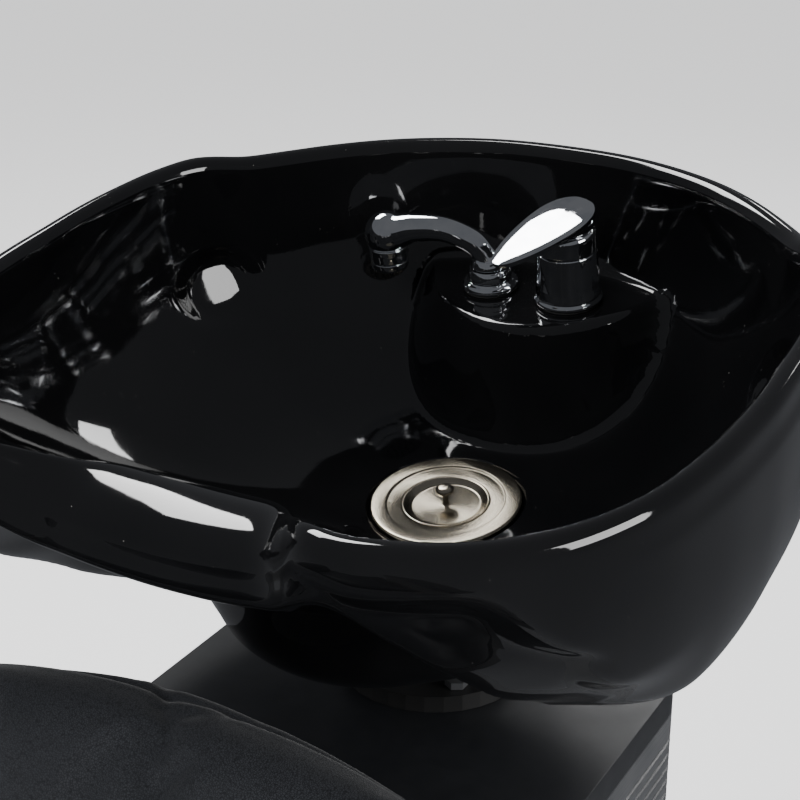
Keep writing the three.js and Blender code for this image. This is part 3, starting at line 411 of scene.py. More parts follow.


# %% [markdown]
# ### Leather, laminate and plastics
# The pads wear a coated leather: pebbled cells about a millimetre across, shallow creases between
# them darkened with painted shade, slow changes of tone and a soft sheen. The cabinet's top is a matt laminate. The
# fluted skirt is a satin plastic with faint drawing lines along each rib.

# %% Soft and moulded finishes
def make_leather():
    """Pebble grain from cell edges over two noises, with painted shade darkening the creases between cells, and a
    little sheen.
    """
    m = finish("grained_leather", (0.016, 0.017, 0.019), 0.4, Sheen_Weight=0.12, Sheen_Roughness=0.4, IOR=1.46)
    at = place_of(m)
    warp = node(m, "TexNoise", {"Vector": at, "Scale": 260.0, "Detail": 2.0}).outputs["Color"]
    shifted = node(m, "VectorMath", {0: warp, 1: (0.0012, 0.0012, 0.0012), 2: at}, operation="MULTIPLY_ADD")
    cells = node(m, "TexVoronoi", {"Vector": shifted.outputs["Vector"], "Scale": 780.0}, feature="DISTANCE_TO_EDGE")
    pebble = spread(m, cells.outputs["Distance"], 0, 1, 0.0, 0.22)
    fine = noise(m, at, 2600.0, 2.0)
    slow = spread(m, noise(m, at, 9.0, 4.0), 0, 1, 0.3, 0.7)
    # The cell edges take a darker colour than the cells: painted shade in the creases of the grain.
    crease = node(m, "Mix", {0: pebble}, data_type="RGBA")
    crease.inputs[6].default_value = (0.01, 0.0105, 0.012, 1)
    m.node_tree.links.new(tint(m, slow, (0.026, 0.028, 0.032), (0.036, 0.038, 0.043)), crease.inputs[7])
    link(m, crease.outputs[2], "Base Color")
    link(m, sums(m, "ADD", spread(m, pebble, 0.5, 0.37), spread(m, slow, -0.03, 0.04)), "Roughness")
    bumps(m, (noise(m, at, 16.0, 3.0), 0.003, 0.12), (pebble, 0.00016, 0.5), (fine, 0.00004, 0.4))
    return m


def make_moulded(name, dark, light, roughness, scale, distance):
    """Moulded or pressed sheet: speckled tone, uneven gloss and a fine skin texture."""
    m = finish(name, dark, roughness)
    at = place_of(m)
    link(m, tint(m, spread(m, noise(m, at, 70.0, 6.0, 0.7), 0, 1, 0.3, 0.7), dark, light), "Base Color")
    link(m, spread(m, noise(m, at, 22.0, 4.0), roughness - 0.05, roughness + 0.08, 0.3, 0.7), "Roughness")
    bumps(m, (noise(m, at, scale, 3.0, 0.6), distance, 0.45))
    return m


def make_fluted():
    """Satin plastic with drawing lines that run level along the ribs."""
    m = finish("fluted_skin", (0.012, 0.0125, 0.0135), 0.34)
    at = place_of(m)
    level = node(m, "Mapping", {"Vector": at, "Scale": (6.0, 6.0, 900.0)}, vector_type="POINT").outputs["Vector"]
    lines = noise(m, level, 1.0, 4.0, 0.6)
    tone = spread(m, noise(m, at, 30.0, 5.0), 0, 1, 0.3, 0.7)
    link(m, tint(m, tone, (0.055, 0.057, 0.061), (0.075, 0.077, 0.081)), "Base Color")
    slow = spread(m, noise(m, at, 12.0), -0.03, 0.04)
    link(m, sums(m, "ADD", spread(m, lines, 0.27, 0.4, 0.3, 0.7), slow), "Roughness")
    bumps(m, (lines, 0.00005, 0.35), (noise(m, at, 1400.0, 2.0), 0.00003, 0.4))
    return m


def make_plywood():
    """Edge-glued veneers: thin level bands, darker glue lines and long grain."""
    m = finish("plywood", (0.45, 0.3, 0.16), 0.62)
    at = place_of(m)
    wave = node(m, "TexWave", {"Vector": at, "Scale": 160.0, "Distortion": 1.2, "Detail": 3.0}, bands_direction="Z")
    band = wave.outputs["Fac"]
    along = node(m, "Mapping", {"Vector": at, "Scale": (8.0, 220.0, 220.0)}).outputs["Vector"]
    grain = noise(m, along, 1.0, 5.0, 0.6)
    mixed = sums(m, "MULTIPLY", band, grain)
    link(m, tint(m, spread(m, mixed, 0, 1, 0.1, 0.6), (0.26, 0.15, 0.07), (0.55, 0.38, 0.21)), "Base Color")
    bumps(m, (grain, 0.0002, 0.4))
    return m


LEATHER = make_leather()
LAMINATE = make_moulded("matt_laminate", (0.0135, 0.0145, 0.0165), (0.019, 0.02, 0.0225), 0.42, 1900, 0.00004)
PLASTIC = make_moulded("black_plastic", (0.011, 0.0113, 0.012), (0.017, 0.0172, 0.018), 0.4, 2300, 0.00005)
RUBBER = make_moulded("black_rubber", (0.009, 0.009, 0.009), (0.016, 0.0155, 0.015), 0.78, 1300, 0.0001)
FLUTED = make_fluted()
PLYWOOD = make_plywood()

# %% [markdown]
# Pieces of the frame that already have their true shape keep it, and take a finish from the same
# set by the record's own list of finishes.

# %% Finishes on the frame's own pieces
SLOTS = {"glaze": GLAZE, "waste_steel": STEEL, "rubber": RUBBER, "chrome": CHROME, "zinc": ZINC,
         "black_metal": BLACK_METAL, "black_plastic": PLASTIC, "fluted_skin": FLUTED,
         "laminate": LAMINATE, "leather": LEATHER, "plywood": PLYWOOD}
for entry in frame["record"]["materials"]:
    for name in entry.get("nodes", []):
        NODES[name].data.materials.clear()
        NODES[name].data.materials.append(SLOTS[entry["slot"]])

# %% [markdown]
# ## The basin
# The casting is one skin that starts at the waste, climbs the inside, rolls over the rim and goes
# down the outside to the foot. Two parameters cover it: the angle from the back, and the place
# along that run. Rim stations give reach, height, width and roundness at each angle, and a smooth
# curve runs through them. Inside and outside are quarters of superellipses. The tap deck, the two
# flank folds and the neck rest are added as smooth steps.

# %% Basin dimensions
MOUTH_Y = -50.0
RIM = np.array([
    [0, 217, 174, 9, 9], [66, 210, 174.5, 9, 9], [122, 188, 176, 9, 9], [160, 161, 178, 9, 9],
    [188, 134, 180, 9, 9], [207, 112, 182.5, 9, 9], [221, 97, 187, 9, 9], [233, 84, 190, 9, 9],
    [244, 56, 192, 8, 8], [253, 10, 194, 8, 8], [257, -50, 196, 8, 8], [257, -110, 198, 8, 8],
    [251, -168, 201, 8, 8], [238, -220, 204, 8, 8], [214, -264, 208, 9, 9], [178, -300, 213, 11, 10],
    [139, -318, 217, 12, 11], [106, -317, 217, 13, 12], [89, -307, 207, 16, 13], [76, -293, 193, 22, 14],
    [52, -281, 185, 28, 15], [0, -278, 181, 30, 16]])
WASTE_R, SEAT_DROP, WASTE_HOLE_R, FLOOR_T = 52.5, 3.0, 34.0, 14.0
FOOT_Z, FOOT_BORE, FOOT_RX, FOOT_REAR, FOOT_FRONT = -32.0, 44.0, 118.0, 76.0, 146.0
SIDE_FULL, FRONT_FULL, WALL = 2.9, 1.35, 14.0
CREASE_DEEP = 13.0               # step of the flank folds
CHIN_IN, CHIN_LOW = 24.0, 12.0   # how far the lower front flanks draw in, and more near the foot
PROW = 1 / 200                   # roundness of the belly under the neck, one over mm
UPPER_FOLD = [[60, 126], [99, 131], [118, 132], [140, 136.5], [171, 141], [188, 143], [205, 148]]
HORN_FOLD = [[-46, 128], [0, 132], [50, 138], [83, 143.5], [100, 146], [127, 150.5],
             [145, 153.5], [182, 158], [192, 161], [205, 163]]
NECK_UNDER = [[0, 152], [0.05, 175], [0.11, 190], [0.2, 203], [0.304, 210], [0.488, 213],
              [0.6, 223], [0.7, 248], [0.775, 280], [0.85, 301], [0.93, 314], [1, 311]]


def curve(stations):
    """A smooth curve through stations that never overshoots: cubic pieces, end slopes weighted harmonic means."""
    s = np.asarray(stations, float)
    x, y = s[:, 0], s[:, 1]
    h, d = np.diff(x), np.diff(y) / np.diff(x)
    m = np.zeros(len(x))
    w1, w2 = 2 * h[1:] + h[:-1], h[1:] + 2 * h[:-1]
    same = d[:-1] * d[1:] > 0
    safe = lambda v: np.where(same, v, 1.0)
    m[1:-1] = np.where(same, (w1 + w2) / (w1 / safe(d[:-1]) + w2 / safe(d[1:])), 0)

    def at(q):
        i = np.clip(np.searchsorted(x, q) - 1, 0, len(x) - 2)
        t = np.clip((q - x[i]) / h[i], 0, 1)
        u = 1 - t
        return ((1 + 2 * t) * u * u * y[i] + t * u * u * h[i] * m[i]
                + t * t * (3 - 2 * t) * y[i + 1] - t * t * u * h[i] * m[i + 1])
    return at


def even_rows(grid, count):
    """Moves the rows of each column so that they are evenly spaced along it."""
    step = np.linalg.norm(np.diff(grid, axis=0), axis=-1)
    along = np.vstack([np.zeros(grid.shape[1]), np.cumsum(step, 0)])
    along /= along[-1]
    q = np.linspace(0, 1, count)
    k = np.clip((along[:, None, :] < q[None, :, None]).sum(0), 1, len(grid) - 1)
    j = np.arange(grid.shape[1])[None]
    a, b = along[k - 1, j], along[k, j]
    t = np.clip((q[:, None] - a) / np.maximum(b - a, 1e-9), 0, 1)[..., None]
    return grid[k - 1, j] * (1 - t) + grid[k, j] * t


def evened(exact, a, spread):
    """A curve of the angle averaged over nearby angles, with weights exp(-2 t t), out to twice the spread."""
    t = np.linspace(-1, 1, 25)[:, None]
    near = np.abs(a + t * 2 * math.radians(spread))
    weight = np.exp(-2 * t * t)
    return (weight * exact(np.where(near > np.pi, 2 * np.pi - near, near))).sum(0) / weight.sum()


# %% Basin surface
def soft_max(a, b, blend):
    """The larger of two heights, with their meeting rounded over the blend width."""
    gap = np.abs(a - b)
    return np.maximum(a, b) + np.where(gap < blend, (blend - gap) ** 2 / (4 * blend), 0)


def deck_over(x, y, z):
    """The tap deck: a step between two rounded lobes, blended into the wall and floor of the bowl."""
    lobe = lambda half, depth, n: (np.abs(x / half) ** n + np.abs((y - 205) / depth) ** n) ** (1 / n)
    foot, top = np.clip(1 - lobe(160, 136, 2), 0, None), np.clip(lobe(95, 108, 1.8) - 1, 0, None)
    share = foot / np.maximum(foot + top, 1e-9)
    return soft_max(z, DECK_Z * smooth(0, 1, share), 12 * smooth(0, 0.35, share) + 1e-6)


def basin_skin(cols=360, inside=72, over=13, outside=100):
    """Rows from the waste seat, up the inside, over the rim, down the outside and back under the foot."""
    rim = lambda values: curve(np.stack([np.arctan2(RIM[:, 0], RIM[:, 1] - MOUTH_Y), values], -1))
    u = np.linspace(-np.pi, np.pi, cols, endpoint=False)
    u = u + 0.22 * np.sin(u)
    a, sa, ca = np.abs(u), np.sin(u), np.cos(u)
    deg = np.degrees(a)
    reach = rim(np.hypot(RIM[:, 0], RIM[:, 1] - MOUTH_Y))
    R, crest, half, rnd = [evened(c, a, 1.3) for c in (reach, rim(RIM[:, 2]), rim(RIM[:, 3]), rim(RIM[:, 4]))]
    top = crest - rnd
    soft_reach = evened(reach, a, 9) - evened(rim(RIM[:, 3]), a, 9)
    soft_top = evened(rim(RIM[:, 2] - RIM[:, 4]), a, 9)
    n = 2.1 - 0.75 * smooth(100, 150, deg)
    start = WASTE_R + 3

    t = np.linspace(0, np.pi / 2, 200)[:, None]
    rho = np.sin(t) ** (2 / n)
    crisp = smooth(0.72, 1, rho)
    z = (soft_top + (top - soft_top) * crisp) * (1 - np.clip(np.cos(t), 0, 1) ** (2 / n))
    dish = np.hypot((a - math.radians(63.3)) * 240 / 42, (z - 98) / 30)
    r = start + (soft_reach + (R - half - soft_reach) * crisp - start) * rho + 6 * (1 - smooth(0.5, 1, dish))
    x, y = r * sa, MOUTH_Y * rho + r * ca
    inner = even_rows(np.stack([x, y, deck_over(x, y, z)], -1), inside)

    t = np.linspace(np.pi, 0, over + 2)[1:-1, None]
    r = R + half * np.cos(t)
    rolled = np.stack([r * sa, MOUTH_Y + r * ca, top + rnd * np.sin(t)], -1)

    t = np.linspace(0, np.pi / 2, 320)[:, None]
    full = SIDE_FULL + (FRONT_FULL - SIDE_FULL) * smooth(104, 160, deg)
    rho = np.clip(np.cos(t), 0, 1) ** (2 / full)
    z = top + (FOOT_Z - top) * np.sin(t) ** (2 / full)
    foot = 1 / np.hypot(sa / FOOT_RX, ca / np.where(ca > 0, FOOT_REAR, FOOT_FRONT))
    cy = MOUTH_Y * rho
    r = foot + (R + half - foot) * rho
    past = deg - curve(UPPER_FOLD)(z)
    crease = smooth(-2, 4.5, past) * (1 - 0.8 * smooth(4, 24, past))
    r = r - CREASE_DEEP * crease * smooth(40, 95, z) * (1 - smooth(165, 198, z))
    r = r - (CHIN_IN + CHIN_LOW * smooth(30, -15, z)) * smooth(112, 134, deg) * smooth(95, 35, z)
    share = (z - FOOT_Z) / (top - FOOT_Z)
    lip = -(MOUTH_Y + (R + half) * ca) - 311
    front = curve(NECK_UNDER)(share) + lip * smooth(0.5, 1, share) + cy
    prow = PROW * smooth(0.75, 0.45, share) * sa * sa
    under = 2 * front / np.maximum(-ca + np.sqrt(ca * ca + 4 * prow * np.abs(front)), 0.05)
    mix = smooth(-1.5, 5, deg - curve(HORN_FOLD)(z)) * (ca < -0.5)
    r = r * (1 - mix) + under * mix
    c = (1 - np.clip(z / soft_top, 0, 1)) ** (n / 2)
    wall_rho = np.sqrt(1 - c * c) ** (2 / n)
    wall = start + (soft_reach - start) * wall_rho + (MOUTH_Y * wall_rho - cy) * ca
    wall = wall + WALL * smooth(top + 4, top - 20, z)
    gap = np.abs(r - wall)
    r = np.maximum(r, wall) + np.where(gap < 10, (10 - gap) ** 2 / 40, 0) * smooth(top, top - 20, z)
    outer = even_rows(np.stack([r * sa, cy + r * ca, z], -1), outside)

    level = lambda radius, height: np.stack([radius * sa, radius * ca, height + 0 * sa], -1)[None]
    rows = [level(WASTE_HOLE_R, -SEAT_DROP), level(WASTE_R + 0.6, -SEAT_DROP), level(WASTE_R + 1, -SEAT_DROP + 0.4),
            inner, rolled, outer, level(FOOT_BORE + 0.6, FOOT_Z), level(FOOT_BORE, FOOT_Z + 0.6),
            level(FOOT_BORE, -FLOOR_T), level(WASTE_HOLE_R, -FLOOR_T)]
    grid = np.vstack(rows)
    return grid.reshape(-1, 3), grid_quads(*grid.shape[:2], wrap_rows=True), []


# %% Basin piece
skin("basin_casting", [leaned(basin_skin())], "basin_unit", GLAZE, sharp=50, replaces=["basin"])

# %% [markdown]
# ## The waste
# Two turned pieces. The flange has a flat outer ring, a fine step, a second ring and a throat. The
# strainer drops into it: a cone down to a flat disc, with a small domed knob on a stem. The edges
# are eased by half a millimetre, because a sharp ring has no highlight.

# %% Waste
RIM_Z = 1.6


def ring_of(profile, ease=0.5, cols=144):
    """A closed ring profile, eased and turned about the waste, then leaned."""
    return leaned(turned(eased(profile, ease), cols, "ring"))


flange = ring_of([[16, -16.6], [18, -16.6], [18, -34], [32, -34], [32, -1.8], [52.4, -1.8], [52.4, RIM_Z - 0.5],
                  [51.4, RIM_Z], [41.6, RIM_Z], [41.2, RIM_Z - 1.1], [40.4, RIM_Z - 1.2], [31, RIM_Z - 1.5],
                  [30.8, RIM_Z - 3.2], [27, RIM_Z - 6.4], [27, -13.6], [16, -13.6]])
skin("waste_ring", [flange], "basin_unit", STEEL, 24, ["waste_flange"])
plug = [[0, -5.6], [26, -5.6], [30.2, -2.2], [30.2, -1.2], [29.2, -1.2], [24.4, -4.4], [23.6, -4.5], [2.6, -4.3],
        [1.9, -3], [1.9, 4.2], [5, 5], [6.6, 7.2], [6.4, 9], [4, 10.6], [0, 11]]
plug = eased(np.array(plug) + [0, RIM_Z], 0.8, 4, False)
skin("strainer_plug", [leaned(turned(plug, 144))], "strainer", STEEL, 24, ["waste_strainer"])

# %% [markdown]
# ## The mixer
# A flared foot, a tall body, a seam, and a cap that turns. The lever is a fat teardrop: a smooth
# run through its half widths gives the outline, rings shrink from that outline to a spine, and a
# flat crown stands 1.2 mm high at the middle.

# %% Mixer body
MIXER_R, MIXER_H, SEAM_Z = 22.4, 56.0, 41.0
LEVER_TURN, LEVER_SLOPE = math.radians(24), math.radians(12.5)


def spun(profile, x, ease=0.8, cols=96):
    """An eased profile turned and stood on the tap deck at x."""
    return on_deck(turned(eased(profile, ease, 4, False), cols), x)


skin("mixer_foot", [spun([[0, 2], [23.6, 2], [24.6, 2.8], [24.6, 4.4], [23.2, 5.8], [22.8, 6.6], [0, 6.6]], TAP_X)],
     "basin_unit", CHROME, 30, ["mixer_base"])
barrel = [[0, 7], [MIXER_R + 1.4, 7], [MIXER_R + 1.1, 9.4], [MIXER_R + 0.3, 14], [MIXER_R - 0.2, 24],
          [MIXER_R - 0.4, SEAM_Z - 1], [MIXER_R - 1.1, SEAM_Z], [0, SEAM_Z]]
skin("mixer_barrel", [spun(barrel, TAP_X)], "basin_unit", CHROME, 30, ["mixer_body"])
skin("mixer_dome", [spun([[0, SEAM_Z + 0.4], [MIXER_R - 1.1, SEAM_Z + 0.4], [MIXER_R - 0.4, SEAM_Z + 1.4],
                          [MIXER_R - 0.8, MIXER_H - 3], [MIXER_R - 2.2, MIXER_H], [MIXER_R - 5, MIXER_H + 1.2],
                          [0, MIXER_H + 1.2]], TAP_X, 1.6)], "mixer_top", CHROME, 30, ["mixer_cap"])


# %% Lever
def teardrop(rings=9, cols=120):
    """Outline (w(t), y(t)) run round both sides of the spine; each ring is outline * k + spine * (1 - k)."""
    side = through([[0, 21], [9, 19.4], [17, 12.5], [21.4, 1.5], [22, -10], [20.6, -24], [17.4, -39], [13, -52],
                    [8.4, -61], [3.8, -65.4], [0, -66.2]], cols // 2 + 1)
    outline = np.vstack([side, side[-2:0:-1] * [-1, 1]])
    spine = np.stack([0 * outline[:, 0], np.clip(outline[:, 1], -46, 2)], -1)
    k = np.sin(np.linspace(0, np.pi / 2, rings + 1)[1:])
    over, edge, under = 1.7 + 1.2 * (1 - k ** 4), np.array([1.3, 0.4, -0.8]), -1.7 - 0.6 * (1 - k ** 3)
    out = np.array([1.006, 1.012, 1.006])
    scale = np.concatenate([k, out, k[::-1]])
    height = np.concatenate([over, edge, under[::-1]])
    flat = spine[None] * (1 - scale[:, None, None]) + outline[None] * scale[:, None, None]
    grid = np.concatenate([flat, np.broadcast_to(height[:, None, None], flat.shape[:2] + (1,))], -1)
    rows = len(grid)
    first, last = grid[0].mean(0), grid[-1].mean(0)
    points = np.vstack([grid.reshape(-1, 3), [first, last]])
    n = len(outline)
    return points, grid_quads(rows, n), both_ends(rows, n)


def turned_by(part, angle, axis):
    """Turns a part by an angle about x (0) or z (2), with the usual cosine and sine pair on the other two axes."""
    p = np.asarray(part[0], float).copy()
    i, j = ((1, 2) if axis == 0 else (0, 1))
    c, s = math.cos(angle), math.sin(angle)
    p[:, i], p[:, j] = p[:, i] * c - p[:, j] * s, p[:, i] * s + p[:, j] * c
    return p, part[1], part[2]


leaf = turned_by(moved(turned_by(teardrop(), LEVER_SLOPE, 0), z=MIXER_H + 10), -LEVER_TURN, 2)
hood = turned(eased([[0, MIXER_H + 2], [MIXER_R - 3.2, MIXER_H + 2], [MIXER_R - 2.6, MIXER_H + 3],
                     [MIXER_R - 2.6, MIXER_H + 7.5], [0, MIXER_H + 9.5]], 0.8, 4, False), 96)
skin("lever_leaf", [on_deck(leaf, TAP_X), on_deck(hood, TAP_X)], "lever", CHROME, 40, ["mixer_lever"])

# %% [markdown]
# ## The hand shower
# A two-step collar carries the handset. Its arm is a circle swept through a few stations whose
# radius grows into the ball of the head. The spray ring below has two circles of small nozzles.

# %% Hand shower
HEAD = (-78, -10)                # middle of the head, from the collar
HEAD_R = 16.5


def bored(profile):
    """A ring profile about the handset's bore, on the deck over the hand shower's hole."""
    return on_deck(turned(eased(profile, 0.7), 96, "ring"), -TAP_X)


skin("holder_flange", [bored([[7, -46], [12, -46], [12, 1.8], [19.8, 1.8], [20.6, 2.8], [20.4, 5], [19, 6.6],
                              [17, 7.4], [16.4, 8.2], [7, 8.2]])],
     "basin_unit", CHROME, 30, ["shower_holder"])
skin("collar_ring", [bored([[7, 8.6], [15.6, 8.6], [16, 9.4], [16, 13.6], [15.2, 15.6], [14.4, 17], [7, 17]])],
     "holder_top", CHROME, 30, ["holder_collar"])
arm_run = through([[0, 0, 19.5], [-2, 0, 25.5], [-12, -1.6, 36], [-33, -4.6, 43.4], [-55, -7.6, 42.4],
                   [-68, -9, 38.6], [-77, -9.8, 36]], 60)
arm_size = through([[11.4, 0], [9.6, 0], [9.1, 0], [9.3, 0], [10.6, 0], [13, 0], [14.4, 0]], 60)[:, 0]
ball_a = np.linspace(-90, 90, 41) * math.pi / 180
ball = HEAD_R * np.stack([np.cos(ball_a), np.sin(ball_a)], -1)
ball[[0, -1], 0] = 0
socket = eased([[0, 15.2], [13.4, 15.2], [13.9, 16], [13.9, 22], [14.6, 26], [0, 30]], 0.7, 4, False)
sleeve = eased([[0, 17.6], [13, 17.6], [13.6, 18.6], [13.2, 20.6], [11.6, 24], [0, 25.4]], 1.0, 4, False)
stem = [[0, 9.2], [6.4, 9.2], [6.4, 19], [0, 19]]
handset = [swept(arm_run, arm_size, 48), moved(turned(ball, 64), *HEAD, 36), moved(turned(socket, 72), *HEAD),
           turned(sleeve, 72), turned(stem, 40)]
skin("handset_arm", [on_deck(p, -TAP_X) for p in handset], "hand_shower", CHROME, 40, ["handset"])
face = eased([[0, 8.8], [12.4, 8.6], [13.6, 9.6], [13.9, 11], [13.9, 14.4], [13.4, 14.8], [0, 14.8]], 0.5, 4, False)
spots = [(r * math.cos(a), r * math.sin(a)) for r, n in ((4.2, 6), (8.8, 12)) for a in np.arange(n) * 2 * np.pi / n]
nozzle = turned([[0, 7.6], [0.9, 7.6], [1.2, 8.9], [0, 8.9]], 10)
skin("spray_ring", [on_deck(moved(turned(face, 72), *HEAD), -TAP_X)], "hand_shower", CHROME, 30,
     ["spray_face"])
skin("spray_nozzles", [on_deck(moved(nozzle, HEAD[0] + x, HEAD[1] + y), -TAP_X) for x, y in spots], "hand_shower",
     RUBBER, 40)

# %% [markdown]
# ## The tilting mount
# The clamp knob is a lobed profile: radius 17.5 mm plus 2 mm times the cosine of six turns. It
# swells and shrinks along its length, so the grip is soft in the hand.

# %% Clamp knob
MOUNT_Y, PIVOT_Z, PED_TOP = 354.4, 694.0, 640.0


def lobed(cols=120):
    """Rows along X; radius = size(row) * (17.5 + 2 cos 6a)."""
    rows = np.array([[59.8, 0.86], [60.3, 0.94], [61.5, 1], [71, 1.02], [73.4, 0.99], [74.6, 0.92], [75, 0.82],
                     [75, 0.4]])
    a = np.linspace(0, 2 * np.pi, cols, endpoint=False)
    r = rows[:, 1:] * (17.5 + 2 * np.cos(6 * a))
    grid = np.stack([rows[:, :1] + 0 * a, MOUNT_Y + r * np.cos(a), PIVOT_Z + r * np.sin(a)], -1)
    n = len(rows)
    middle = [[x, MOUNT_Y, PIVOT_Z] for x in rows[[0, -1], 0]]
    points = np.vstack([grid.reshape(-1, 3), middle])
    return points, grid_quads(n, cols), both_ends(n, cols)


skin("clamp_grip", [lobed()], "clamp_knob", PLASTIC, 40, ["tilt_knob"])

# %% [markdown]
# ## The pedestal
# The skirt is one path round the side and the rear corner, crossed with a profile of level ribs.
# Each groove is a half ellipse 3.4 mm wide and 3 mm deep, with eased lips, so a rib shows a soft
# highlight between two dark lines. Boards are boxes with small rounded edges.

# %% Pedestal helpers
PED_HALF, PED_FRONT, PED_REAR, CORNER_R = 160.0, 82.4, 442.4, 42.0
SHELL_Z, SKIN_T, TOP_T, DOOR_HALF = 30.0, 12.0, 22.0, 87.0


def plate(outer, inner):
    """A closed sheet between two grids of the same shape: both faces, and a strip round the border."""
    rows, cols = outer.shape[:2]
    n = rows * cols
    face = grid_quads(rows, cols, wrap_cols=False)
    i = np.arange(n).reshape(rows, cols)
    border = np.concatenate([i[0, :-1], i[:-1, -1], i[-1, :0:-1], i[:0:-1, 0]])
    ahead = np.roll(border, -1)
    rim = np.stack([border, border + n, ahead + n, ahead], -1)
    return np.vstack([outer.reshape(-1, 3), inner.reshape(-1, 3)]), np.vstack([face, face[:, ::-1] + n, rim]), []


def board(name, low, high, body, material, replaces, radius=1.2):
    """A board with rounded edges as one skin."""
    return skin(name, [block(low, high, radius, 4)], body, material, 50, replaces)


# %% Fluted skirt
def ribs(pitch=11.0, count=50, wide=3.4, deep=3.0):
    """Rows of (height, depth below the face): every groove is deep * sqrt(1 - u*u) for u from -1 to 1, with lips."""
    top = PED_TOP - TOP_T - 0.4
    u = np.array([-1.5, -1.15, -0.98, -0.8, -0.45, 0, 0.45, 0.8, 0.98, 1.15, 1.5])
    d = np.where(np.abs(u) < 1, deep * np.sqrt(np.clip(1 - u * u, 0, 1)), 0) + np.where(np.abs(u) == 1.15, 0.12, 0)
    z = top - 22 - (count - 1) * pitch + np.arange(count)[:, None] * pitch + u * wide / 2
    rows = np.stack([z.ravel(), np.tile(d, count)], -1)
    return np.vstack([[[SHELL_Z, 0.5], [SHELL_Z + 0.5, 0]], rows, [[top - 0.5, 0], [top, 0.5]]])


def skirt(side, corner=20):
    """The path's point less its normal times the rib's depth, at each rib height; the back is one skin in."""
    a = np.linspace(0, np.pi / 2, corner + 1)
    bend = np.stack([PED_HALF - CORNER_R + CORNER_R * np.cos(a), PED_REAR - CORNER_R + CORNER_R * np.sin(a),
                     np.cos(a), np.sin(a)], -1)
    path = np.vstack([[PED_HALF, PED_FRONT, 1, 0], bend, [DOOR_HALF + 3, PED_REAR, 0, 1]])
    rows = ribs()
    point, normal = path[None, :, :2], path[None, :, 2:]
    height = np.broadcast_to(rows[:, 0, None, None], (len(rows), len(path), 1))
    outer = np.concatenate([point - normal * rows[:, 1, None, None], height], -1) * [side, 1, 1]
    back = np.broadcast_to(point - normal * SKIN_T, outer.shape[:2] + (2,))
    inner = np.concatenate([back, height], -1) * [side, 1, 1]
    return plate(outer, inner)


skin("skirt_left", [skirt(-1)], "stand", FLUTED, 35, ["fluted_panel_left"])
skin("skirt_right", [skirt(1)], "stand", FLUTED, 35, ["fluted_panel_right"])


# %% Pedestal top
def rounded_top(inset, corner=16):
    """The top's outline, moved in by inset: square at the front, round at the rear corners."""
    w, r = PED_HALF - inset, CORNER_R - inset
    a = np.linspace(0, np.pi / 2, corner + 1)
    right = np.stack([w - r + r * np.cos(a), PED_REAR - inset - r + r * np.sin(a)], -1)
    left = right[::-1] * [-1, 1]
    front = PED_FRONT + inset
    return np.vstack([[[w, front]], right, left, [[-w, front]]])


def top_board():
    """Outlines stacked from the underside to the upper face, which run in to a round bore under the mount."""
    low, high = PED_TOP - TOP_T, PED_TOP
    steps = [(0.8, low), (0.2, low + 0.3), (0, low + 0.9), (0, high - 0.9), (0.25, high - 0.3), (0.9, high)]
    rings = np.stack([np.column_stack([rounded_top(inset), np.full(36, z)]) for inset, z in steps])
    n = rings.shape[1]
    bore = np.linspace(0, 2 * np.pi, n, endpoint=False)
    hole = lambda z: np.column_stack([34 * np.cos(bore), MOUNT_Y + 34 * np.sin(bore), np.full(n, z)])
    start = np.argmin(np.abs(np.arctan2(rings[0, 0, 1] - MOUNT_Y, rings[0, 0, 0]) % (2 * np.pi) - bore))
    grid = np.concatenate([rings, [np.roll(hole(high), -start, 0)], [np.roll(hole(low), -start, 0)]])
    return grid.reshape(-1, 3), grid_quads(len(grid), n, wrap_rows=True), []


skin("cabinet_top", [top_board()], "stand", LAMINATE, 30, ["pedestal_top"])

# %% Pedestal boards and door
side_in = PED_HALF - SKIN_T - 0.4
under_top = PED_TOP - TOP_T - 0.4
board("cabinet_front", (-side_in, PED_FRONT, SHELL_Z), (side_in, PED_FRONT + SKIN_T, under_top), "stand", LAMINATE,
      ["pedestal_front"])
board("door_leaf", (-DOOR_HALF, PED_REAR - SKIN_T, 48), (DOOR_HALF, PED_REAR, 604), "door", LAMINATE,
      ["service_door"])
plates = (("sill_plate", SHELL_Z, 46.5, "door_sill"), ("head_plate", 605.5, under_top, "door_head"))
for name, z0, z1, node_name in plates:
    board(name, (-DOOR_HALF - 2.6, PED_REAR - SKIN_T, z0), (DOOR_HALF + 2.6, PED_REAR, z1), "stand", BLACK_METAL,
          [node_name], 0.8)
for name, x in (("left", -118), ("right", 118)):
    board(f"upright_{name}", (x - 15, 355.4, SHELL_Z + 18.4), (x + 15, 385.4, under_top), "stand", BLACK_METAL,
          [f"post_{name}"], 2)
grip = turned(eased([[0, -12], [3, -12], [3, 0.4], [6, 0.4], [6, 6], [7, 8.6], [12.6, 11.6], [15, 16.4], [13.4, 20.4],
                     [8, 22], [0, 22]], 1.6, 5, False), 72)
p, q, t = grip
grip = (np.stack([p[:, 0] + 68, p[:, 2] + PED_REAR, 330 - p[:, 1]], -1), q, t)
skin("door_pull", [grip], "door", CHROME, 30, ["door_knob"])

# %% [markdown]
# ## The pads
# Each pad starts as a box with round edges, slightly small. It is remeshed to an even 6 mm grid,
# given its crown and drawn-in sides by formula, then blown up as cloth: pressure swells it, gravity
# is off, and the face that lies on its board is pinned. A point may only move so far, so the pad
# keeps its measured size. One subdivision makes it smooth. Seams are pressed in afterwards.

# %% Cloth helpers
SEAT_HALF, SEAT_FRONT, SEAT_REAR, SEAT_TOP, SEAT_T = 240.0, -574.6, -99.6, 470.0, 110.0
BACK_H, BACK_LEAN, BACK_FOOT = 344.0, math.radians(17), (0.0, -3.6, 436.0)
ARM_IN, ARM_T, ARM_TOP, ARM_FRONT, ARM_REAR, ARM_FOOT = 252.0, 62.0, 640.0, -544.6, -14.6, 60.4


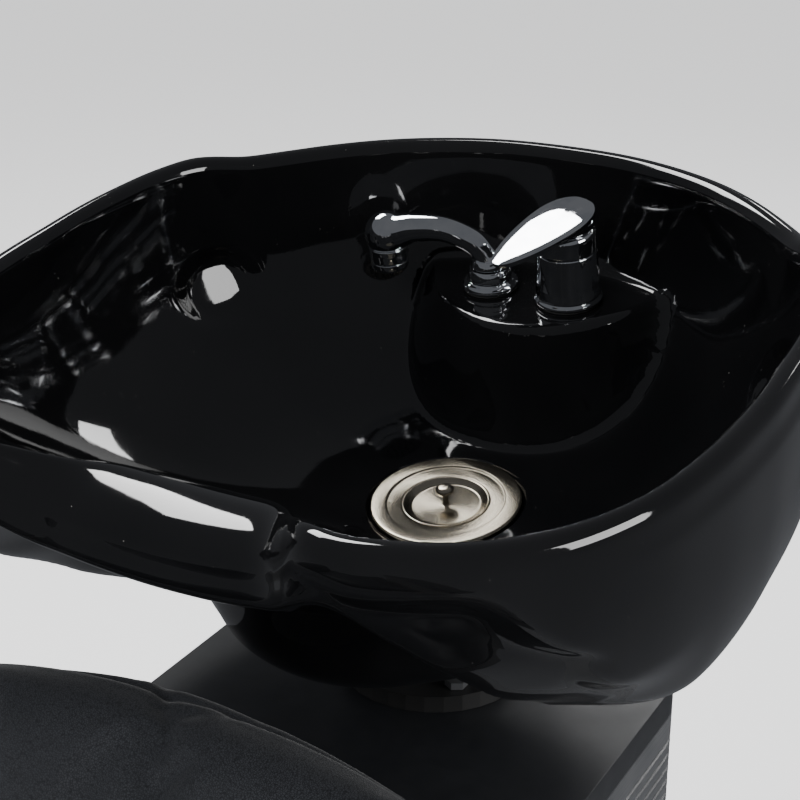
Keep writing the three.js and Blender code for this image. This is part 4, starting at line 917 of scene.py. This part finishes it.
def arrays(mesh):
    """The points (mm) and the quads and triangles of a mesh as arrays."""
    points = np.empty(len(mesh.vertices) * 3)
    mesh.vertices.foreach_get("co", points)
    mesh.calc_loop_triangles()
    tris = np.empty(len(mesh.loop_triangles) * 3, dtype=np.int32)
    mesh.loop_triangles.foreach_get("vertices", tris)
    sizes = np.empty(len(mesh.polygons), dtype=np.int32)
    mesh.polygons.foreach_get("loop_total", sizes)
    loops = np.empty(len(mesh.loops), dtype=np.int32)
    mesh.loops.foreach_get("vertex_index", loops)
    quads = loops.reshape(-1, 4) if (sizes == 4).all() else None
    return points.reshape(-1, 3) / MM, quads, tris.reshape(-1, 3)


def evaluated(piece, kind, **settings):
    """The piece's mesh after one modifier, as arrays; the modifier is taken off again."""
    modifier = piece.modifiers.new("work", kind)
    for key, value in settings.items():
        setattr(modifier, key, value)
    mesh = bpy.data.meshes.new_from_object(piece.evaluated_get(bpy.context.evaluated_depsgraph_get()))
    piece.modifiers.remove(modifier)
    result = arrays(mesh)
    bpy.data.meshes.remove(mesh)
    return result


def loose(points, *faces):
    """A mesh object in the scene from points in mm and arrays of faces, for the length of a calculation."""
    mesh = bpy.data.meshes.new("work")
    mesh.from_pydata((points * MM).tolist(), [], [face for rows in faces for face in rows.tolist()])
    piece = bpy.data.objects.new("work", mesh)
    bpy.context.scene.collection.objects.link(piece)
    return piece


def drop(piece):
    """Removes a loose object and its mesh."""
    mesh = piece.data
    bpy.data.objects.remove(piece)
    bpy.data.meshes.remove(mesh)


def blown(points, faces, pinned, cap, pressure=4.0, last=20):
    """Points after the cloth has swelled; the movement d becomes cap * tanh(|d| / cap) along d."""
    piece = loose(points, faces)
    group = piece.vertex_groups.new(name="rest")
    group.add(np.flatnonzero(pinned).tolist(), 1.0, "REPLACE")
    modifier = piece.modifiers.new("cloth", "CLOTH")
    cloth = modifier.settings
    cloth.quality = 5
    cloth.mass = 0.4
    cloth.vertex_group_mass = "rest"
    cloth.use_pressure = True
    cloth.uniform_pressure_force = pressure
    cloth.effector_weights.gravity = 0
    scene = bpy.context.scene
    modifier.point_cache.frame_start, modifier.point_cache.frame_end = 1, last
    for frame_number in range(1, last + 1):
        scene.frame_set(frame_number)
    mesh = bpy.data.meshes.new_from_object(piece.evaluated_get(bpy.context.evaluated_depsgraph_get()))
    swollen = arrays(mesh)[0]
    bpy.data.meshes.remove(mesh)
    drop(piece)
    scene.frame_set(1)
    d = swollen - points
    size = np.linalg.norm(d, axis=1)[:, None] + 1e-9
    return points + d * cap * np.tanh(size / cap) / size


# %% Pad maker
def relaxed(points, faces, rounds=3):
    """Each point moves half way to the mean of its neighbours, a few times: it takes out the remesh's steps."""
    pairs = np.vstack([faces[:, [0, 1]], faces[:, [1, 2]], faces[:, [2, 3]], faces[:, [3, 0]]])
    pairs = np.vstack([pairs, pairs[:, ::-1]])
    count = np.bincount(pairs[:, 0], minlength=len(points))[:, None]
    for _ in range(rounds):
        total = np.stack([np.bincount(pairs[:, 0], points[pairs[:, 1], k], len(points)) for k in range(3)], -1)
        points = 0.5 * points + 0.5 * total / count
    return points


def normals(points, faces):
    """Unit normal of each point: the sum of its quads' diagonal cross products."""
    p = points[faces]
    n = np.cross(p[:, 2] - p[:, 0], p[:, 3] - p[:, 1])
    total = np.stack([np.bincount(faces.ravel(), np.repeat(n[:, k], 4), len(points)) for k in range(3)], -1)
    return total / (np.linalg.norm(total, axis=1)[:, None] + 1e-12)


def pad(size, edge, form, seams, cap, pressure=4.0, voxel=6.0):
    """A pad lying on z = 0, centred in x and y: box, remesh, form, cloth, flat rest, subdivision, seams."""
    w, h, t = size
    base = loose(*block((-w / 2, -h / 2, 0), (w / 2, h / 2, t), edge, 10))
    points, faces, _ = evaluated(base, "REMESH", mode="VOXEL", voxel_size=voxel * MM)
    drop(base)
    points = form(relaxed(points, faces), w / 2, h / 2, t)
    points = blown(points, faces, points[:, 2] < 2.5, cap, pressure)
    points[:, 2] = np.maximum(points[:, 2], 0)
    rough = loose(points, faces)
    points, faces, _ = evaluated(rough, "SUBSURF", levels=1, render_levels=1)
    drop(rough)
    points[:, 2] = np.maximum(points[:, 2], 0)
    points = points - normals(points, faces) * seams(points, w / 2, h / 2, t)[:, None]
    return points, faces, []


def groove(distance, width, depth):
    """A pressed line: depth * exp(-(distance / width) squared), with a low roll of a fifth of it on both sides."""
    d = distance / width
    return depth * np.exp(-d * d) - 0.2 * depth * np.exp(-(np.abs(d) - 2.4) ** 2)


# %% Seat pad
def seat_form(p, w, h, t):
    """Crown 0.16 of the height over the middle, sides drawn in 7 mm half way between corners."""
    x, y, z = p[:, 0] / w, p[:, 1] / h, p[:, 2] / t
    dome = (1 - x ** 4) * (1 - y ** 4)
    out = p.copy()
    out[:, 0] -= 7 * np.sign(x) * np.abs(x) ** 3 * (1 - y * y)
    out[:, 1] -= 7 * np.sign(y) * np.abs(y) ** 3 * (1 - x * x)
    out[:, 2] *= 0.84 + 0.13 * dome
    return out


def seat_seams(p, w, h, t):
    """One welt round the side at 0.6 of the height, and two sewn channels across the top."""
    side = smooth(0.86, 0.95, np.maximum(np.abs(p[:, 0]) / w, np.abs(p[:, 1]) / h))
    top = smooth(0.55, 0.8, p[:, 2] / t) * smooth(0.99, 0.9, np.abs(p[:, 0]) / w)
    across = np.minimum(np.abs(p[:, 1] + h * 0.34), np.abs(p[:, 1] - h * 0.32))
    return side * groove(p[:, 2] - 0.5 * t, 3.5, 3.0) + top * groove(across, 5, 6.0)


seat_pad = pad((474, 469, 106), 34, seat_form, seat_seams, 22)
seat_piece = skin("seat_pad", [moved(seat_pad, 0, (SEAT_FRONT + SEAT_REAR) / 2, SEAT_TOP - SEAT_T)], "stand", LEATHER,
                  0, ["seat_cushion"])


# %% Back pad
def back_place(part):
    """Stands the pad up on its lower edge and leans it back 17 degrees."""
    p, q, t = turned_by(turned_by(moved(part, y=BACK_H / 2), math.pi / 2, 0), -BACK_LEAN, 0)
    return p + np.array(BACK_FOOT), q, t


def back_form(p, w, h, t):
    """The top edge falls 46 mm to the corners as x squared; the face domes; the sides draw in between corners."""
    x, y, z = p[:, 0] / w, p[:, 1] / h, p[:, 2] / t
    out = p.copy()
    out[:, 1] -= 46 * x * x * smooth(-1, 1, y)
    out[:, 0] -= 6 * np.sign(x) * np.abs(x) ** 3 * (1 - y * y)
    out[:, 2] *= 0.86 + 0.12 * (1 - x ** 4) * (1 - y ** 4)
    return out


def back_seams(p, w, h, t):
    """A sewn channel across the face a hand below the top, following its crown, and a welt round the side."""
    x = p[:, 0] / w
    line = h - 104 - 46 * x * x * 0.8
    face = smooth(0.5, 0.75, p[:, 2] / t) * smooth(0.99, 0.9, np.abs(x))
    side = smooth(0.88, 0.96, np.maximum(np.abs(x), np.abs((p[:, 1] + 23 * x * x) / h)))
    return face * groove(p[:, 1] - line, 5, 7.0) + side * groove(p[:, 2] - 0.3 * t, 3.5, 2.6)


back_pad = pad((474, 342, 92), 40, back_form, back_seams, 22)
back_piece = skin("back_pad", [back_place(back_pad)], "stand", LEATHER, 0, ["back_cushion"])


# %% Arms
def arm_form(p, w, h, t):
    """Thin padding over a board: the outer edges thin by a fifth and the long sides draw in 2 mm."""
    x, y = p[:, 0] / w, p[:, 1] / h
    out = p.copy()
    out[:, 2] = p[:, 2] * (0.88 + 0.08 * (1 - x ** 4) * (1 - y ** 4))
    out[:, 0] -= 2 * np.sign(x) * np.abs(x) ** 3 * (1 - y * y)
    out[:, 1] -= 2 * np.sign(y) * np.abs(y) ** 3 * (1 - x * x)
    return out


def arm_seams(p, w, h, t):
    """A welt round the panel 26 mm in from its edge, on the face."""
    near = np.minimum(w - np.abs(p[:, 0]), h - np.abs(p[:, 1]))
    return smooth(0.6, 0.85, p[:, 2] / t) * groove(near - 26, 3.5, 2.6)


def rest_seams(p, w, h, t):
    """A welt along both sides of the arm rest at half height."""
    side = smooth(0.8, 0.93, np.maximum(np.abs(p[:, 0]) / w, np.abs(p[:, 1]) / h))
    return side * groove(p[:, 2] - 0.42 * t, 3.0, 1.8)


panel_top = ARM_TOP - 42
arm_pad = pad((ARM_REAR - ARM_FRONT - 4, panel_top - ARM_FOOT - 4, ARM_T - 2), 13, arm_form, arm_seams, 8, 3.0, 7.0)
rest_pad = pad((ARM_T + 4, ARM_REAR - ARM_FRONT - 14, 38), 14, arm_form, rest_seams, 6, 4.0, 5.0)
arm_up = turned_by(turned_by(arm_pad, math.pi / 2, 0), math.pi / 2, 2)
arm_up = moved(arm_up, ARM_IN, (ARM_FRONT + ARM_REAR) / 2, (panel_top + ARM_FOOT) / 2)
rest_up = moved(rest_pad, ARM_IN + ARM_T / 2, (ARM_FRONT + ARM_REAR) / 2, ARM_TOP - 41)
for side, end in ((1, "right"), (-1, "left")):
    kinds = (("arm_upholstery", arm_up, "arm_panel", 0.9), ("arm_rest", rest_up, "arm_pad", 0.8))
    for name, part, node_name, fill in kinds:
        piece = skin(f"{name}_{end}", [(part[0] * [side, 1, 1], part[1], part[2])], "stand", LEATHER, 0,
                     [f"{node_name}_{end}"])

# %% [markdown]
# ## Boards, struts, frame and feet
# Everything under the pads is straight stock with small rounded edges: plywood under the seat, a
# laminated board behind the back, flat bars, square tube and turned levelling feet.

# %% Boards and struts
UNDER = SEAT_TOP - SEAT_T - 0.4
board("seat_ply", (-232, SEAT_FRONT + 20, UNDER - 13), (232, SEAT_REAR - 8, UNDER), "stand", PLYWOOD,
      ["seat_board"])
board("front_board", (-240, SEAT_FRONT + 30, ARM_FOOT), (240, SEAT_FRONT + 44, UNDER - 13.4), "stand", LAMINATE,
      ["front_panel"])
half_back = lambda part: back_place(moved(part, y=-BACK_H / 2))


def crowned_board(thick=13.0, inset=26.0):
    """A board on a 41 by 21 grid whose top edge falls like the pad's, an inset inside it."""
    x, y = np.meshgrid(np.linspace(-1, 1, 41), np.linspace(-1, 1, 21))
    high = (BACK_H / 2 - inset) * y - 46 * x * x * smooth(-1, 1, y)
    face = np.stack([(SEAT_HALF - inset) * x, high + BACK_H / 2, 0 * x - 0.4], -1)
    return plate(face, face - [0, 0, thick])


skin("back_panel", [half_back(crowned_board())], "stand", LAMINATE, 30, ["back_board"])
for side, end in ((1, "right"), (-1, "left")):
    x, y = side * 150, BACK_FOOT[1] + 21.5
    bars = [half_back(block((x - 16, 20, -21.8), (x + 16, 210, -13.8), 1.2, 4)),
            block((x - 16, y, ARM_FOOT), (x + 16, y + 8, BACK_FOOT[2] + 18), 1.2, 4)]
    skin(f"strut_{end}", bars, "stand", BLACK_METAL, 50, [f"back_strut_{end}"])

# %% Frame and feet
t, z0, y0, y1 = 30.0, 30.0, SEAT_FRONT + 26, PED_FRONT - 4
wide, leg_top = ARM_IN + ARM_T - 12, SEAT_TOP - SEAT_T - 13 - 0.8
tubes = [((s * 200 - t / 2, y0, z0), (s * 200 + t / 2, y1, z0 + t)) for s in (-1, 1)]
tubes += [((-wide, y, z0), (wide, y + t, z0 + t)) for y in (y0, ARM_REAR - 60)]
tubes += [((-200, BACK_FOOT[1] + 10, z0), (200, BACK_FOOT[1] + 10 + t, z0 + t))]
tubes += [((s * 200 - t / 2, y, z0), (s * 200 + t / 2, y + t, leg_top))
          for s in (-1, 1) for y in (y0 + t, SEAT_REAR - 50)]
skin("floor_frame", [block(low, high, 2.5, 4) for low, high in tubes], "stand", BLACK_METAL, 50,
     ["chair_frame"])
foot = [[0, 0], [17.4, 0], [18, 1.2], [18, 5], [15, 7], [7, 11], [6, 12], [6, 29.6], [0, 29.6]]
foot = turned(eased(foot, 1.0, 4, False), 48)
stands = ((200, SEAT_FRONT + 65), (200, PED_FRONT - 40), (120, PED_REAR - 60))
for i, (x, y) in enumerate((s * dx, y) for s in (-1, 1) for dx, y in stands):
    skin(f"levelling_foot_{i + 1}", [moved(foot, x, y)], "stand", PLASTIC, 40, [f"foot_{i + 1}"])

# %% [markdown]
# ## Floor and light
# A plain pale floor that glows a little, so that it stays near white, and soft boxes like those of
# a small studio. Black gloss shows only what it reflects, so each light is placed where its
# reflection should fall on the bowl. The floor and the fill light leave no reflection.

# %% Floor
floor_mesh = bpy.data.meshes.new("floor")
reach = 9.0
corners = [(-reach, -reach, 0), (reach, -reach, 0), (reach, reach, 0), (-reach, reach, 0)]
floor_mesh.from_pydata(corners, [], [(0, 1, 2, 3)])
floor = bpy.data.objects.new("floor", floor_mesh)
bpy.context.scene.collection.objects.link(floor)
floor_finish = finish("pale_floor", (0.9, 0.9, 0.9), 0.8, Emission_Color=(1, 1, 1, 1), Emission_Strength=1.0)
floor_mesh.materials.append(floor_finish)
floor.visible_glossy = False


# %% Lights
def softbox(name, place, aim, width, height, power):
    """A rectangular area light at place that faces aim."""
    data = bpy.data.lights.new(name, "AREA")
    data.shape, data.size, data.size_y, data.energy = "RECTANGLE", width, height, power
    lamp = bpy.data.objects.new(name, data)
    lamp.location = place
    lamp.rotation_euler = (Vector(aim) - Vector(place)).to_track_quat("-Z", "Y").to_euler()
    bpy.context.scene.collection.objects.link(lamp)
    return lamp


softbox("key_box", (-1.6, 1.2, 3.0), (0, 0.2, 0.8), 1.4, 1.0, 60)
softbox("side_box", (2.6, 0.2, 1.6), (0, 0.3, 0.7), 1.2, 1.6, 50)
softbox("top_box", (0.3, 3.2, 2.6), (0, 0.3, 0.9), 2.2, 0.5, 40)
fill = softbox("fill_box", (-0.6, -2.2, 2.6), (0, 0.1, 0.6), 2.4, 1.6, 90)
fill.visible_glossy = False
world = bpy.data.worlds.new("studio")
world.use_nodes = True
world.node_tree.nodes["Background"].inputs["Color"].default_value = (0.9, 0.93, 1.0, 1)
world.node_tree.nodes["Background"].inputs["Strength"].default_value = 0.12
bpy.context.scene.world = world
